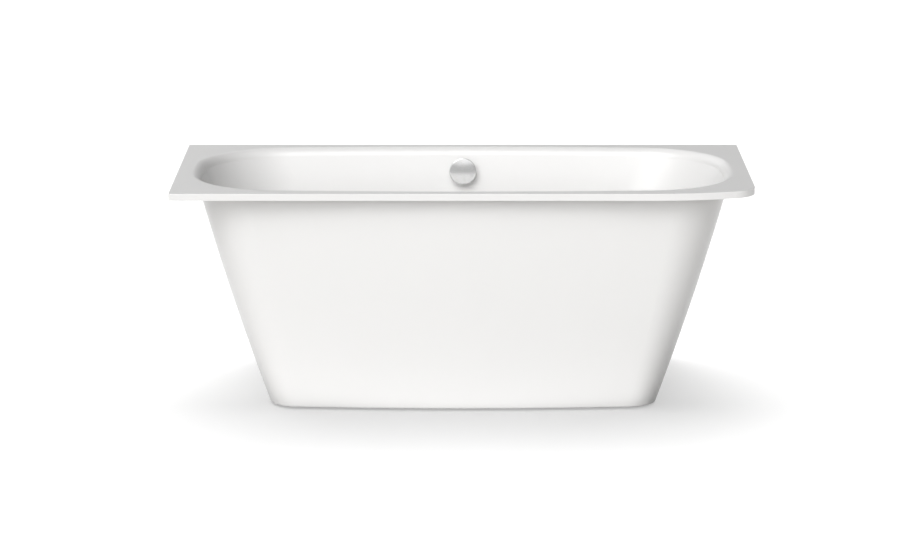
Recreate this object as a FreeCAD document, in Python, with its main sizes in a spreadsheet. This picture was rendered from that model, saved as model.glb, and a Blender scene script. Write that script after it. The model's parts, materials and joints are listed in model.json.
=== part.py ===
import FreeCAD, Part
import math
import os
import re
import Sketcher

# Driving sizes in millimetres and degrees. The bath stands with its back edge to a wall on +Y,
# its length along X, and its feet on the plane z = 0.
SIZES = {
    # rim and basin
    "rim_length": 1500,
    "rim_width": 700,
    "rim_height": 590,
    "sheet_gauge": 3,
    "lip_height": 18,
    "lip_corner": 6,
    "lip_edge": 1.2,
    "lead_radius": 684,
    "corner_radius": 76,
    "lead_run": 262,
    "end_margin": 38,
    "side_margin": 29,
    "roll_radius": 24,
    "crease_drop": 22.5,
    "end_lean": 28,
    "side_lean": 9,
    "basin_depth": 420,
    "floor_fall": 6,
    "floor_radius": 80,
    "long_bow": 7600,
    "corner_share": 0.31,
    "end_bow": 930,
    "floor_long_bow": 5000,
    "floor_corner_share": 0.25,
    "floor_end_bow": 650,
    "drain_half_length": 80,
    "drain_half_width": 60,
    "drain_long_bow": 110,
    "drain_corner_bow": 50,
    "drain_end_bow": 62,
    # skirt
    "skirt_gauge": 3,
    "skirt_gap": 4,
    "skirt_tuck": 1,
    "skirt_back_gap": 3,
    "skirt_top_inset": 41.5,
    "skirt_foot_inset": 220.5,
    "skirt_end_bulge": 6,
    "skirt_top_setback": 35,
    "skirt_foot_setback": 79,
    "skirt_front_bulge": 3,
    "skirt_top_corner": 150,
    "skirt_foot_corner": 80,
    "skirt_top_bow": 8000,
    "skirt_foot_bow": 5000,
    "skirt_end_sag": 40.8,
    "skirt_flange": 30,
    "skirt_foot_edge": 4,
    # fits
    "fit_gap": 0.3,
    "run_gap": 0.05,
    # foot rails and levelling feet
    "rail_offset": 280,
    "rail_margin": 105,
    "rail_breadth": 40,
    "rail_depth": 30,
    "rail_gauge": 2,
    "rail_level": 96,
    "foot_inset": 40,
    "stud_radius": 6,
    "stud_top": 150,
    "stud_seat": 8,
    "pad_radius": 22,
    "pad_height": 20,
    "nut_radius": 10.6,
    "nut_height": 10,
    "saddle_offset": 120,
    "saddle_length": 50,
    # plates and fasteners
    "plate_gauge": 2,
    "hanger_offset": 450,
    "hanger_breadth": 40,
    "hanger_drop": 32,
    "bracket_breadth": 20,
    "bolt_radius": 3,
    "screw_radius": 2.5,
    "anchor_offset": 480,
    "anchor_breadth": 60,
    "anchor_drop": 50,
    "anchor_shelf": 25,
    "anchor_gauge": 3,
    "anchor_hole": 4,
    "anchor_pitch": 30,
    "tab_offset": 320,
    "tab_drop": 30,
    "pad_sheet": 3,
    "pad_sheet_length": 120,
    "pad_sheet_width": 100,
    "pad_sheet_offset": 100,
    # overflow set
    "overflow_drop": 63.5,
    "overflow_hole": 26,
    "gasket_gauge": 3,
    "housing_flange": 36,
    "housing_flange_gauge": 4,
    "housing_radius": 29,
    "housing_depth": 41,
    "housing_wall": 3,
    "spigot_radius": 12.5,
    "spigot_wall": 2,
    "spigot_depth": 25,
    "spigot_end": 62,
    "front_plate": 34,
    "front_gauge": 3,
    "water_hole": 6,
    "water_circle": 16.5,
    "screw_circle": 21,
    "knob_radius": 36.5,
    "knob_face": 26,
    "knob_dome": 2.4,
    "knob_standoff": 14,
    "knob_wall": 3,
    "knob_hub": 10,
    "knob_edge": 2.5,
    "knob_hub_reach": 8,
    "grub_radius": 1.9,
    "grub_rise": 3,
    "grub_sink": 0.5,
    "spindle_radius": 6,
    "spindle_tip": 18,
    "journal_radius": 4,
    "sheave_radius": 11,
    "sheave_groove": 8.3,
    "sheave_level": 32,
    "sheave_height": 6,
    "groove_height": 3,
    "knob_turn": 90,
    # waste set
    "hole_gap": 3,
    "seal_gauge": 1,
    "flange_radius": 36,
    "neck_radius": 23,
    "neck_wall": 3,
    "neck_length": 21,
    "hub_radius": 7,
    "hub_height": 8,
    "spoke_gauge": 3,
    "stem_radius": 3,
    "stem_reach": 12,
    "stem_nut_height": 4,
    "plug_margin": 7,
    "plug_gauge": 4,
    "plug_dome": 2,
    "plug_edge": 1,
    "plug_boss_gap": 3,
    "plug_boss_depth": 7,
    "plug_seal_drop": 2.5,
    "plug_seal_height": 2,
    "body_flange": 40,
    "body_flange_gauge": 6,
    "body_neck": 30,
    "body_neck_height": 7,
    "body_shoulder": 6,
    "body_radius": 36,
    "body_wall": 3,
    "body_height": 88,
    "tail_wall": 4,
    "socket_depth": 20,
    "socket_step": 2,
    "pipe_radius": 20,
    "pipe_wall": 2,
    "bend_radius": 32,
    "bend_drop": 10,
    "outlet_rise": 44,
    "outlet_end": 160,
    "outlet_step": 5,
    "outlet_length": 56,
    "union_skirt": 8,
    "union_lead": 12,
    "union_wall": 6,
    "union_grip": 5,
    "union_grip_depth": 1.5,
    "union_seal": 4,
    "lever_arm": 24,
    "lever_breadth": 8,
    "lever_gauge": 4,
    "lever_hub": 16,
    "lift_angle": 24,
    "axle_radius": 3,
    "axle_tail": 12,
    "axle_boss": 8,
    "crank_gauge": 4,
    "crank_breadth": 12,
    "crank_stand": 9,
    "crank_screw": 1.6,
    "crank_screw_length": 8,
    "lug_gauge": 8,
    "lug_height": 16,
    "lug_setback": 14,
    "barrel_radius": 3,
    "barrel_length": 12,
    # hose and cable
    "hose_wall": 1.6,
    "rib_depth": 1.6,
    "hose_bend": 90,
    "hose_drop": 35,
    "hose_stand": 4,
    "hose_gap": 1,
    "rib_pitch": 6,
    "hose_nut_wall": 3.2,
    "union_length": 18,
    "sheath_radius": 2.5,
    "core_radius": 0.75,
    "cable_reach": 58.1,
    "cable_bend": 40,
    "cable_straight": 62,
    "core_tail": 4,
}

V = FreeCAD.Vector
X_AXIS = V(1, 0, 0)
Y_AXIS = V(0, 1, 0)
Z_AXIS = V(0, 0, 1)

doc = FreeCAD.newDocument("bath")
sheet = doc.addObject("Spreadsheet::Sheet", "sizes")
for row, (word, number) in enumerate(SIZES.items(), 1):
    sheet.set("A%d" % row, word)
    sheet.set("B%d" % row, str(number))
    sheet.setAlias("B%d" % row, word)
doc.recompute()

# Sizes that follow from the driving ones
DERIVED = {
    "corner_bow": "rim_width*corner_share",
    "floor_corner_bow": "rim_width*floor_corner_share",
    "skirt_side_bow": "rim_width^2/(2*skirt_end_sag)",
    "rail_span": "rim_width-2*rail_margin",
    "foot_offset": "rail_span/2-foot_inset",
    "spigot_bore": "spigot_radius-spigot_wall",
    "waste_hole": "neck_radius+hole_gap",
    "neck_bore": "neck_radius-neck_wall",
    "tail_radius": "pipe_radius+tail_wall",
    "pipe_bore": "pipe_radius-pipe_wall",
    "plug_radius": "flange_radius-plug_margin",
    "plug_boss": "neck_bore-plug_boss_gap",
    "outlet_radius": "pipe_radius+outlet_step",
    "hose_bore": "spigot_radius+fit_gap",
    "hose_root": "hose_bore+hose_wall",
    "hose_radius": "hose_root+rib_depth",
    "hose_nut_radius": "hose_radius+hose_nut_wall",
    "hose_end": "body_radius+hose_stand",
    "sheath_bore": "core_radius+fit_gap",
    "cable_side": "body_radius+crank_stand+2*crank_gauge",
    "body_top": "rim_height-basin_depth-sheet_gauge-gasket_gauge",
    "hose_level": "body_top-hose_drop",
    "bend_top": "body_top-body_height-bend_drop",
    "outlet_level": "body_top-body_height+outlet_rise",
}
WORDS = re.compile(r"\b(" + "|".join(SIZES) + r")\b")
DERIVED_WORDS = re.compile(r"\b(" + "|".join(DERIVED) + r")\b")
pieces = {}


def linked(text):
    """Write an expression with derived words worked out and each size word pointing at its cell."""
    while DERIVED_WORDS.search(text):
        text = DERIVED_WORDS.sub(lambda found: "(%s)" % DERIVED[found.group()], text)
    return WORDS.sub(r"sizes.\1", text)


def value(text):
    """Return the number that an expression stands for."""
    result = sheet.evalExpression(linked(text))
    return float(getattr(result, "Value", result))


def bind(thing, **links):
    """Bind properties of an object to expressions."""
    for key, text in links.items():
        thing.setExpression(key, linked(text))
    return thing


def place(thing, x="0", y="0", z="0", axis=Z_AXIS, angle="0"):
    """Bind an object's position, and its turn about one axis."""
    thing.Placement = FreeCAD.Placement(V(), FreeCAD.Rotation(axis, value(angle)))
    for key, text in zip("xyz", (x, y, z)):
        thing.setExpression("Placement.Base." + key, linked(text))
    return thing


def keep(label, thing):
    """Give a finished piece its name."""
    thing.Label = label
    pieces[label] = thing
    return thing


# Plain solids and their combinations

def box(length, width, height, x="0", y="0", z="0"):
    """Box with its low corner at (x, y, z)."""
    solid = bind(doc.addObject("Part::Box", "box"), Length=length, Width=width, Height=height)
    return place(solid, x, y, z)


def spoke(length, width, height, x, z, angle):
    """Box along a radius that starts at x, turned about Z by an angle."""
    solid = bind(doc.addObject("Part::Box", "spoke"), Length=length, Width=width, Height=height)
    along, across = (angle, "(%s)" % x), (angle, "(%s)/2" % width)
    return place(solid, "cos({0})*{1}+sin({2})*{3}".format(*along, *across),
                 "sin({0})*{1}-cos({2})*{3}".format(*along, *across), z, Z_AXIS, angle)


def rod(radius, height, x="0", y="0", z="0", axis="z"):
    """Cylinder that starts at (x, y, z) and runs along an axis."""
    solid = bind(doc.addObject("Part::Cylinder", "rod"), Radius=radius, Height=height)
    about, angle = {"z": (Z_AXIS, "0"), "x": (Y_AXIS, "90"), "y": (X_AXIS, "-90")}[axis]
    return place(solid, x, y, z, about, angle)


def hexagon(radius, height, x="0", y="0", z="0", axis="z"):
    """Six-sided prism that starts at (x, y, z) and runs along an axis."""
    solid = doc.addObject("Part::Prism", "hexagon")
    solid.Polygon = 6
    bind(solid, Circumradius=radius, Height=height)
    about, angle = {"z": (Z_AXIS, "0"), "x": (Y_AXIS, "90"), "y": (X_AXIS, "-90")}[axis]
    return place(solid, x, y, z, about, angle)


def joined(*parts):
    """One solid from parts that meet."""
    if len(parts) == 1:
        return parts[0]
    whole = doc.addObject("Part::MultiFuse", "joined")
    whole.Shapes = list(parts)
    return whole


def less(base, *tools):
    """A solid with tools cut out of it."""
    rest = doc.addObject("Part::Cut", "less")
    rest.Base = base
    rest.Tool = joined(*tools)
    return rest


def group(*parts):
    """Separate solids that are kept under one name."""
    together = doc.addObject("Part::Compound", "group")
    together.Links = list(parts)
    return together


# Sketches

def new_sketch(body, role, level="0"):
    """Sketch on one of a body's own planes, raised by a level."""
    sketch = body.newObject("Sketcher::SketchObject", "sketch")
    support = [item for item in body.Origin.OriginFeatures if item.Role == role][0]
    sketch.AttachmentSupport = [(support, "")]
    sketch.MapMode = "FlatFace"
    sketch.setExpression("AttachmentOffset.Base.z", linked(level))
    return sketch


def size(sketch, kind, text, *refs):
    """Add a dimension that follows an expression."""
    index = sketch.addConstraint(Sketcher.Constraint(kind, *refs, value(text)))
    sketch.setExpression("Constraints[%d]" % index, linked(text))


def arc(x, y, radius, start, end):
    """Arc about (x, y) between two angles in radians."""
    return Part.ArcOfCircle(Part.Circle(V(x, y, 0), Z_AXIS, radius), start, end)


def line(x0, y0, x1, y1):
    """Straight edge between two points of a sketch."""
    return Part.LineSegment(V(x0, y0, 0), V(x1, y1, 0))


def chain(sketch, shapes, smooth):
    """Add edges end to end in a closed loop; return the number of the first."""
    first = sketch.GeometryCount
    sketch.addGeometry(shapes, False)
    count = len(shapes)
    for i in range(count):
        kind = "Tangent" if smooth[i] else "Coincident"
        sketch.addConstraint(Sketcher.Constraint(kind, first + i, 2, first + (i + 1) % count, 1))
    return first


def corner_centre(low, side, front_radius, corner, side_radius):
    """Centre of the corner circle that touches a front circle and a side circle from inside.

    low is the centre height of the front circle, whose centre is on the Y axis;
    side is the centre of the side circle.
    """
    across, up = side[0], side[1] - low
    span = math.hypot(across, up)
    reach = front_radius - corner
    along = (reach ** 2 - (side_radius - corner) ** 2 + span ** 2) / (2 * span)
    off = math.sqrt(reach ** 2 - along ** 2)
    turn = math.copysign(1, up)
    x = (across * along + turn * up * off) / span
    y = low + (up * along - turn * across * off) / span
    return x, y


def oval(body, level, half_length, half_width, long_bow, corner_bow, end_bow):
    """Sketch of a bowed oval: two long arcs, two end arcs and four corner arcs, all tangent."""
    sketch = new_sketch(body, "XY_Plane", level)
    a, b, r_long, r_corner, r_end = (
        value(text) for text in (half_length, half_width, long_bow, corner_bow, end_bow))
    y_long = b - r_long
    x_end = a - r_end
    cx, cy = corner_centre(y_long, (x_end, 0), r_long, r_corner, r_end)
    near = math.atan2(cy, cx - x_end)
    far = math.atan2(cy - y_long, cx)
    half = math.pi
    shapes = [
        arc(x_end, 0, r_end, -near, near),
        arc(cx, cy, r_corner, near, far),
        arc(0, y_long, r_long, far, half - far),
        arc(-cx, cy, r_corner, half - far, half - near),
        arc(-x_end, 0, r_end, half - near, half + near),
        arc(-cx, -cy, r_corner, half + near, half + far),
        arc(0, -y_long, r_long, half + far, 2 * half - far),
        arc(cx, -cy, r_corner, 2 * half - far, 2 * half - near),
    ]
    chain(sketch, shapes, [True] * len(shapes))
    for edge in (2, 6):
        sketch.addConstraint(Sketcher.Constraint("PointOnObject", edge, 3, -2))
        size(sketch, "Radius", long_bow, edge)
    for edge in (0, 4):
        sketch.addConstraint(Sketcher.Constraint("PointOnObject", edge, 3, -1))
        size(sketch, "Radius", end_bow, edge)
    for edge in (1, 3, 5, 7):
        size(sketch, "Radius", corner_bow, edge)
    size(sketch, "DistanceX", "(%s)-(%s)" % (half_length, end_bow), -1, 1, 0, 3)
    size(sketch, "DistanceX", "(%s)-(%s)" % (end_bow, half_length), -1, 1, 4, 3)
    size(sketch, "DistanceY", "(%s)-(%s)" % (half_width, long_bow), -1, 1, 2, 3)
    size(sketch, "DistanceY", "(%s)-(%s)" % (long_bow, half_width), -1, 1, 6, 3)
    return sketch


def closed_outline(sketch, points, bows):
    """Closed outline through bound points; bows maps an edge to the radius of its arc.

    An arc turns left along the outline.
    """
    spots = [(value(x), value(y)) for x, y in points]
    count = len(spots)
    shapes = []
    for i, (x0, y0) in enumerate(spots):
        x1, y1 = spots[(i + 1) % count]
        if i not in bows:
            shapes.append(line(x0, y0, x1, y1))
            continue
        radius = value(bows[i])
        span = math.hypot(x1 - x0, y1 - y0)
        rise = math.sqrt(radius ** 2 - span ** 2 / 4)
        cx = (x0 + x1) / 2 - (y1 - y0) / span * rise
        cy = (y0 + y1) / 2 + (x1 - x0) / span * rise
        start = math.atan2(y0 - cy, x0 - cx)
        shapes.append(arc(cx, cy, radius, start, start + 2 * math.asin(span / 2 / radius)))
    first = chain(sketch, shapes, [False] * count)
    for i, (x, y) in enumerate(points):
        for kind, text, axis in (("DistanceX", x, -2), ("DistanceY", y, -1)):
            if text == "0":
                sketch.addConstraint(Sketcher.Constraint("PointOnObject", first + i, 1, axis))
            else:
                size(sketch, kind, text, -1, 1, first + i, 1)
        if i in bows:
            size(sketch, "Radius", bows[i], first + i)


def turned(points, bows=None):
    """Body of revolution about Z from an outline of (radius, height) points."""
    body = doc.addObject("PartDesign::Body", "turned")
    sketch = new_sketch(body, "XZ_Plane")
    closed_outline(sketch, points, bows or {})
    turn = body.newObject("PartDesign::Revolution", "turn")
    turn.Profile = sketch
    turn.ReferenceAxis = (sketch, ["V_Axis"])
    turn.Angle = 360
    return body


def ring(outer, inner, low, high):
    """Ring about Z between two heights."""
    return turned([(inner, low), (outer, low), (outer, high), (inner, high)])


def rounded(body, radius, picked):
    """Round the edges of a body's last feature that a test picks by their bounding boxes."""
    doc.recompute()
    base = body.Tip
    names = ["Edge%d" % i for i, edge in enumerate(base.Shape.Edges, 1) if picked(edge.BoundBox)]
    fillet = body.newObject("PartDesign::Fillet", "rounded")
    fillet.Base = (base, names)
    bind(fillet, Radius=radius)
    doc.recompute()
    return fillet


def level_with(height):
    """Test for edges that lie in one level plane."""
    return lambda bounds: max(abs(bounds.ZMin - height), abs(bounds.ZMax - height)) < 0.05


# Places that several pieces share

HALF_LENGTH = "(rim_length/2-end_margin-roll_radius*tan(45-side_lean/2))"
HALF_WIDTH = "(rim_width/2-side_margin-roll_radius*tan(45-side_lean/2))"
FLOOR_EDGE = "(rim_height-basin_depth+floor_fall)"
FLOOR_LOW = "(rim_height-basin_depth)"
UNDER_LOW = "(rim_height-basin_depth-sheet_gauge)"
FLOOR_LENGTH = "(%s-crease_drop*tan(side_lean)-(basin_depth-floor_fall-crease_drop)*tan(end_lean))" % (
    HALF_LENGTH)
FLOOR_WIDTH = "(%s-(basin_depth-floor_fall)*tan(side_lean))" % HALF_WIDTH
OVERFLOW_Y = "(%s-overflow_drop*tan(side_lean))" % HALF_WIDTH
OVERFLOW_Z = "(rim_height-overflow_drop)"


def lean_back(thing):
    """Move a piece drawn about Z onto the overflow axis, square to the back wall."""
    return place(thing, "0", OVERFLOW_Y, OVERFLOW_Z, X_AXIS, "90-side_lean")


# Tub

def rim_outline(sketch, inset):
    """Rim outline: square corners but for the long rounded one at the front right."""
    half_l = value("rim_length/2-%s" % inset)
    half_w = value("rim_width/2-%s" % inset)
    lead = value("lead_radius-%s" % inset)
    corner = value("corner_radius-%s" % inset)
    small = value("lip_corner-%s" % inset)
    start = value("rim_length/2-lead_run")
    sweep = math.asin((half_l - corner - start) / (lead - corner))
    lead_y = lead - half_w
    corner_x = half_l - corner
    corner_y = lead_y - (lead - corner) * math.cos(sweep)
    quarter = math.pi / 2
    shapes = [
        line(small - half_l, -half_w, start, -half_w),
        arc(start, lead_y, lead, -quarter, sweep - quarter),
        arc(corner_x, corner_y, corner, sweep - quarter, 0),
        line(half_l, corner_y, half_l, half_w - small),
        arc(half_l - small, half_w - small, small, 0, quarter),
        line(half_l - small, half_w, small - half_l, half_w),
        arc(small - half_l, half_w - small, small, quarter, 2 * quarter),
        line(-half_l, half_w - small, -half_l, small - half_w),
        arc(small - half_l, small - half_w, small, 2 * quarter, 3 * quarter),
    ]
    first = chain(sketch, shapes, [True] * len(shapes))
    for edge in (0, 5):
        sketch.addConstraint(Sketcher.Constraint("Horizontal", first + edge))
    for edge in (3, 7):
        sketch.addConstraint(Sketcher.Constraint("Vertical", first + edge))
    size(sketch, "DistanceY", "%s-rim_width/2" % inset, -1, 1, first, 1)
    size(sketch, "DistanceY", "rim_width/2-%s" % inset, -1, 1, first + 5, 1)
    size(sketch, "DistanceX", "rim_length/2-%s" % inset, -1, 1, first + 3, 1)
    size(sketch, "DistanceX", "%s-rim_length/2" % inset, -1, 1, first + 7, 1)
    size(sketch, "DistanceX", "rim_length/2-lead_run", -1, 1, first, 2)
    size(sketch, "Radius", "lead_radius-%s" % inset, first + 1)
    size(sketch, "Radius", "corner_radius-%s" % inset, first + 2)
    for edge in (4, 6, 8):
        size(sketch, "Radius", "lip_corner-%s" % inset, first + edge)


def basin_sections(body, gauge):
    """Four ovals from the rim down to the drain, grown outward and downward by a gauge.

    The wall drops steeply from the rim to a crease, below which the ends lean further out.
    """
    def grown(half, lean):
        return "%s+%s/cos(%s)" % (half, gauge, lean)
    drop = "(crease_drop+%s*(1/cos(end_lean)-1/cos(side_lean))/(tan(end_lean)-tan(side_lean)))" % gauge
    narrow = "%s*tan(side_lean)" % drop
    bows = ("long_bow", "corner_bow", "end_bow")
    halves = (grown(HALF_LENGTH, "side_lean"), grown(HALF_WIDTH, "side_lean"))
    top = oval(body, "rim_height", *halves, *("%s+%s" % (bow, gauge) for bow in bows))
    crease = oval(body, "rim_height-%s" % drop, *("%s-%s" % (half, narrow) for half in halves),
                  *("%s+%s-%s" % (bow, gauge, narrow) for bow in bows))
    floor = oval(body, "%s-%s" % (FLOOR_EDGE, gauge),
                 grown(FLOOR_LENGTH, "end_lean") + "-%s*tan(end_lean)" % gauge,
                 grown(FLOOR_WIDTH, "side_lean") + "-%s*tan(side_lean)" % gauge,
                 "floor_long_bow+%s" % gauge, "floor_corner_bow+%s" % gauge,
                 "floor_end_bow+%s" % gauge)
    drain = oval(body, "%s-%s" % (FLOOR_LOW, gauge), "drain_half_length", "drain_half_width",
                 "drain_long_bow", "drain_corner_bow", "drain_end_bow")
    return top, [crease, floor, drain]


def tub():
    """Pressed tub: rim plate, turned-down lip and basin of one sheet gauge."""
    body = doc.addObject("PartDesign::Body", "tub")
    plate_sketch = new_sketch(body, "XY_Plane", "rim_height-sheet_gauge")
    rim_outline(plate_sketch, "0")
    plate = body.newObject("PartDesign::Pad", "plate")
    plate.Profile = plate_sketch
    bind(plate, Length="sheet_gauge")
    outside = body.newObject("PartDesign::AdditiveLoft", "outside")
    outside.Profile, outside.Sections = basin_sections(body, "sheet_gauge")
    outside.Ruled = True
    lip_sketch = new_sketch(body, "XY_Plane", "rim_height-lip_height")
    rim_outline(lip_sketch, "0")
    rim_outline(lip_sketch, "sheet_gauge")
    lip = body.newObject("PartDesign::Pad", "lip")
    lip.Profile = lip_sketch
    bind(lip, Length="lip_height-sheet_gauge")
    inside = body.newObject("PartDesign::SubtractiveLoft", "inside")
    inside.Profile, inside.Sections = basin_sections(body, "0")
    inside.Ruled = True

    top = value("rim_height")
    clear_x = value("rim_length/2-end_margin/2")
    clear_y = value("rim_width/2-side_margin/2")

    def basin_edge(height):
        flat = level_with(height)
        return lambda b: (flat(b) and max(abs(b.XMin), abs(b.XMax)) < clear_x
                          and max(abs(b.YMin), abs(b.YMax)) < clear_y)

    def lip_edge(bounds):
        return level_with(top)(bounds) and not (
            max(abs(bounds.XMin), abs(bounds.XMax)) < clear_x
            and max(abs(bounds.YMin), abs(bounds.YMax)) < clear_y)

    rounded(body, "roll_radius", basin_edge(top))
    rounded(body, "roll_radius-sheet_gauge", basin_edge(value("rim_height-sheet_gauge")))
    rounded(body, "floor_radius", basin_edge(value(FLOOR_EDGE)))
    rounded(body, "floor_radius+sheet_gauge", basin_edge(value(FLOOR_EDGE + "-sheet_gauge")))
    rounded(body, "lip_edge", lip_edge)

    reach = "(housing_depth/2)"
    overflow_bore = place(
        bind(doc.addObject("Part::Cylinder", "overflow_bore"),
             Radius="overflow_hole", Height="2*%s" % reach),
        "0", "%s+%s*cos(side_lean)" % (OVERFLOW_Y, reach),
        "%s-%s*sin(side_lean)" % (OVERFLOW_Z, reach), X_AXIS, "90-side_lean")
    waste_bore = rod("waste_hole", "4*sheet_gauge", z="%s-sheet_gauge" % UNDER_LOW)
    keep("bath_shell", less(body, overflow_bore, waste_bore))


# Skirt

SKIRT_TOP = "(rim_height-lip_height+skirt_tuck)"
SKIRT_BACK = "(rim_width/2-skirt_back_gap)"
BRACKET_X = "(rail_offset-rail_breadth/2-plate_gauge)"
BRACKET_Y = "(skirt_foot_setback-rim_width/2+skirt_flange*0.8)"
BRACKET_SCREWS = ["%s*(%s-bracket_breadth/2)" % (side, BRACKET_X) for side in ("-1", "1")]


def skirt_outline(body, level, share, inset, back):
    """Skirt outline at one level: bowed front, round corners, bowed ends, straight back.

    share runs from 0 at the foot to 1 at the top; inset shrinks the outline.
    """
    def mixed(kind):
        return "(skirt_foot_{0}+(skirt_top_{0}-skirt_foot_{0})*{1})".format(kind, share)
    swell = "(4*{0}*(1-{0}))".format(share)
    sketch = new_sketch(body, "XY_Plane", level)
    half = "(rim_length/2-%s+skirt_end_bulge*%s-%s)" % (mixed("inset"), swell, inset)
    front = "(%s-skirt_front_bulge*%s-rim_width/2+%s)" % (mixed("setback"), swell, inset)
    front_bow = "(%s-%s)" % (mixed("bow"), inset)
    corner = "(%s-%s)" % (mixed("corner"), inset)
    side_bow = "(skirt_side_bow-%s)" % inset
    a, y_front, r_front, r_corner, r_side, y_back, y_arc = (
        value(text) for text in (half, front, front_bow, corner, side_bow, back, SKIRT_BACK))
    y_centre = y_front + r_front
    x_side = a - r_side
    cx, cy = corner_centre(y_centre, (x_side, y_arc), r_front, r_corner, r_side)
    front_end = math.atan2(cy - y_centre, cx)
    side_end = math.atan2(cy - y_arc, cx - x_side)
    x_back = x_side + math.sqrt(r_side ** 2 - (y_back - y_arc) ** 2)
    side_top = math.atan2(y_back - y_arc, x_back - x_side)
    full = math.pi
    shapes = [
        arc(0, y_centre, r_front, -full - front_end, front_end),
        arc(cx, cy, r_corner, front_end, side_end),
        arc(x_side, y_arc, r_side, side_end, side_top),
        line(x_back, y_back, -x_back, y_back),
        arc(-x_side, y_arc, r_side, full - side_top, full - side_end),
        arc(-cx, cy, r_corner, full - side_end, full - front_end),
    ]
    chain(sketch, shapes, [True, True, False, False, True, True])
    sketch.addConstraint(Sketcher.Constraint("PointOnObject", 0, 3, -2))
    sketch.addConstraint(Sketcher.Constraint("Horizontal", 3))
    size(sketch, "Radius", front_bow, 0)
    size(sketch, "DistanceY", "%s+%s" % (front, front_bow), -1, 1, 0, 3)
    size(sketch, "DistanceY", back, -1, 1, 3, 1)
    for edge, sign in ((2, 1), (4, -1)):
        size(sketch, "Radius", side_bow, edge)
        size(sketch, "DistanceX", "%d*(%s-%s)" % (sign, half, side_bow), -1, 1, edge, 3)
        size(sketch, "DistanceY", SKIRT_BACK, -1, 1, edge, 3)
    for edge in (1, 5):
        size(sketch, "Radius", corner, edge)
    return sketch


def skirt():
    """One-piece skirt, open to the wall, with a rolled foot that turns inward as a flange."""
    foot = "skirt_gap"
    flange_top = "(skirt_gap+skirt_foot_edge)"
    levels = ((flange_top, "0"), ("(%s+%s)/2" % (flange_top, SKIRT_TOP), "0.5"), (SKIRT_TOP, "1"))
    open_back = "(rim_width/2+skirt_flange)"
    body = doc.addObject("PartDesign::Body", "skirt")
    outer = [skirt_outline(body, level, share, "0", SKIRT_BACK) for level, share in levels]
    outside = body.newObject("PartDesign::AdditiveLoft", "outside")
    outside.Profile = outer[0]
    outside.Sections = outer[1:]
    lift = "(skirt_foot_edge*(1-sin(45)))"
    roll = [skirt_outline(body, level, "0", inset, SKIRT_BACK) for level, inset in (
        (foot, "skirt_foot_edge"), ("(%s+%s)" % (foot, lift), lift), (flange_top, "0"))]
    rolled = body.newObject("PartDesign::AdditiveLoft", "rolled")
    rolled.Profile = roll[0]
    rolled.Sections = roll[1:]
    inner = [skirt_outline(body, level, share, "skirt_gauge", open_back) for level, share in levels]
    inside = body.newObject("PartDesign::SubtractiveLoft", "inside")
    inside.Profile = inner[0]
    inside.Sections = inner[1:]
    opening = body.newObject("PartDesign::Pocket", "opening")
    opening.Profile = skirt_outline(body, foot, "0", "skirt_flange", open_back)
    opening.Reversed = True
    bind(opening, Length="skirt_foot_edge")
    holes = [rod("screw_radius", "4*skirt_foot_edge", x, BRACKET_Y, "skirt_gap-skirt_foot_edge")
             for x in BRACKET_SCREWS]
    keep("skirt_panel", less(body, *holes))


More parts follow.
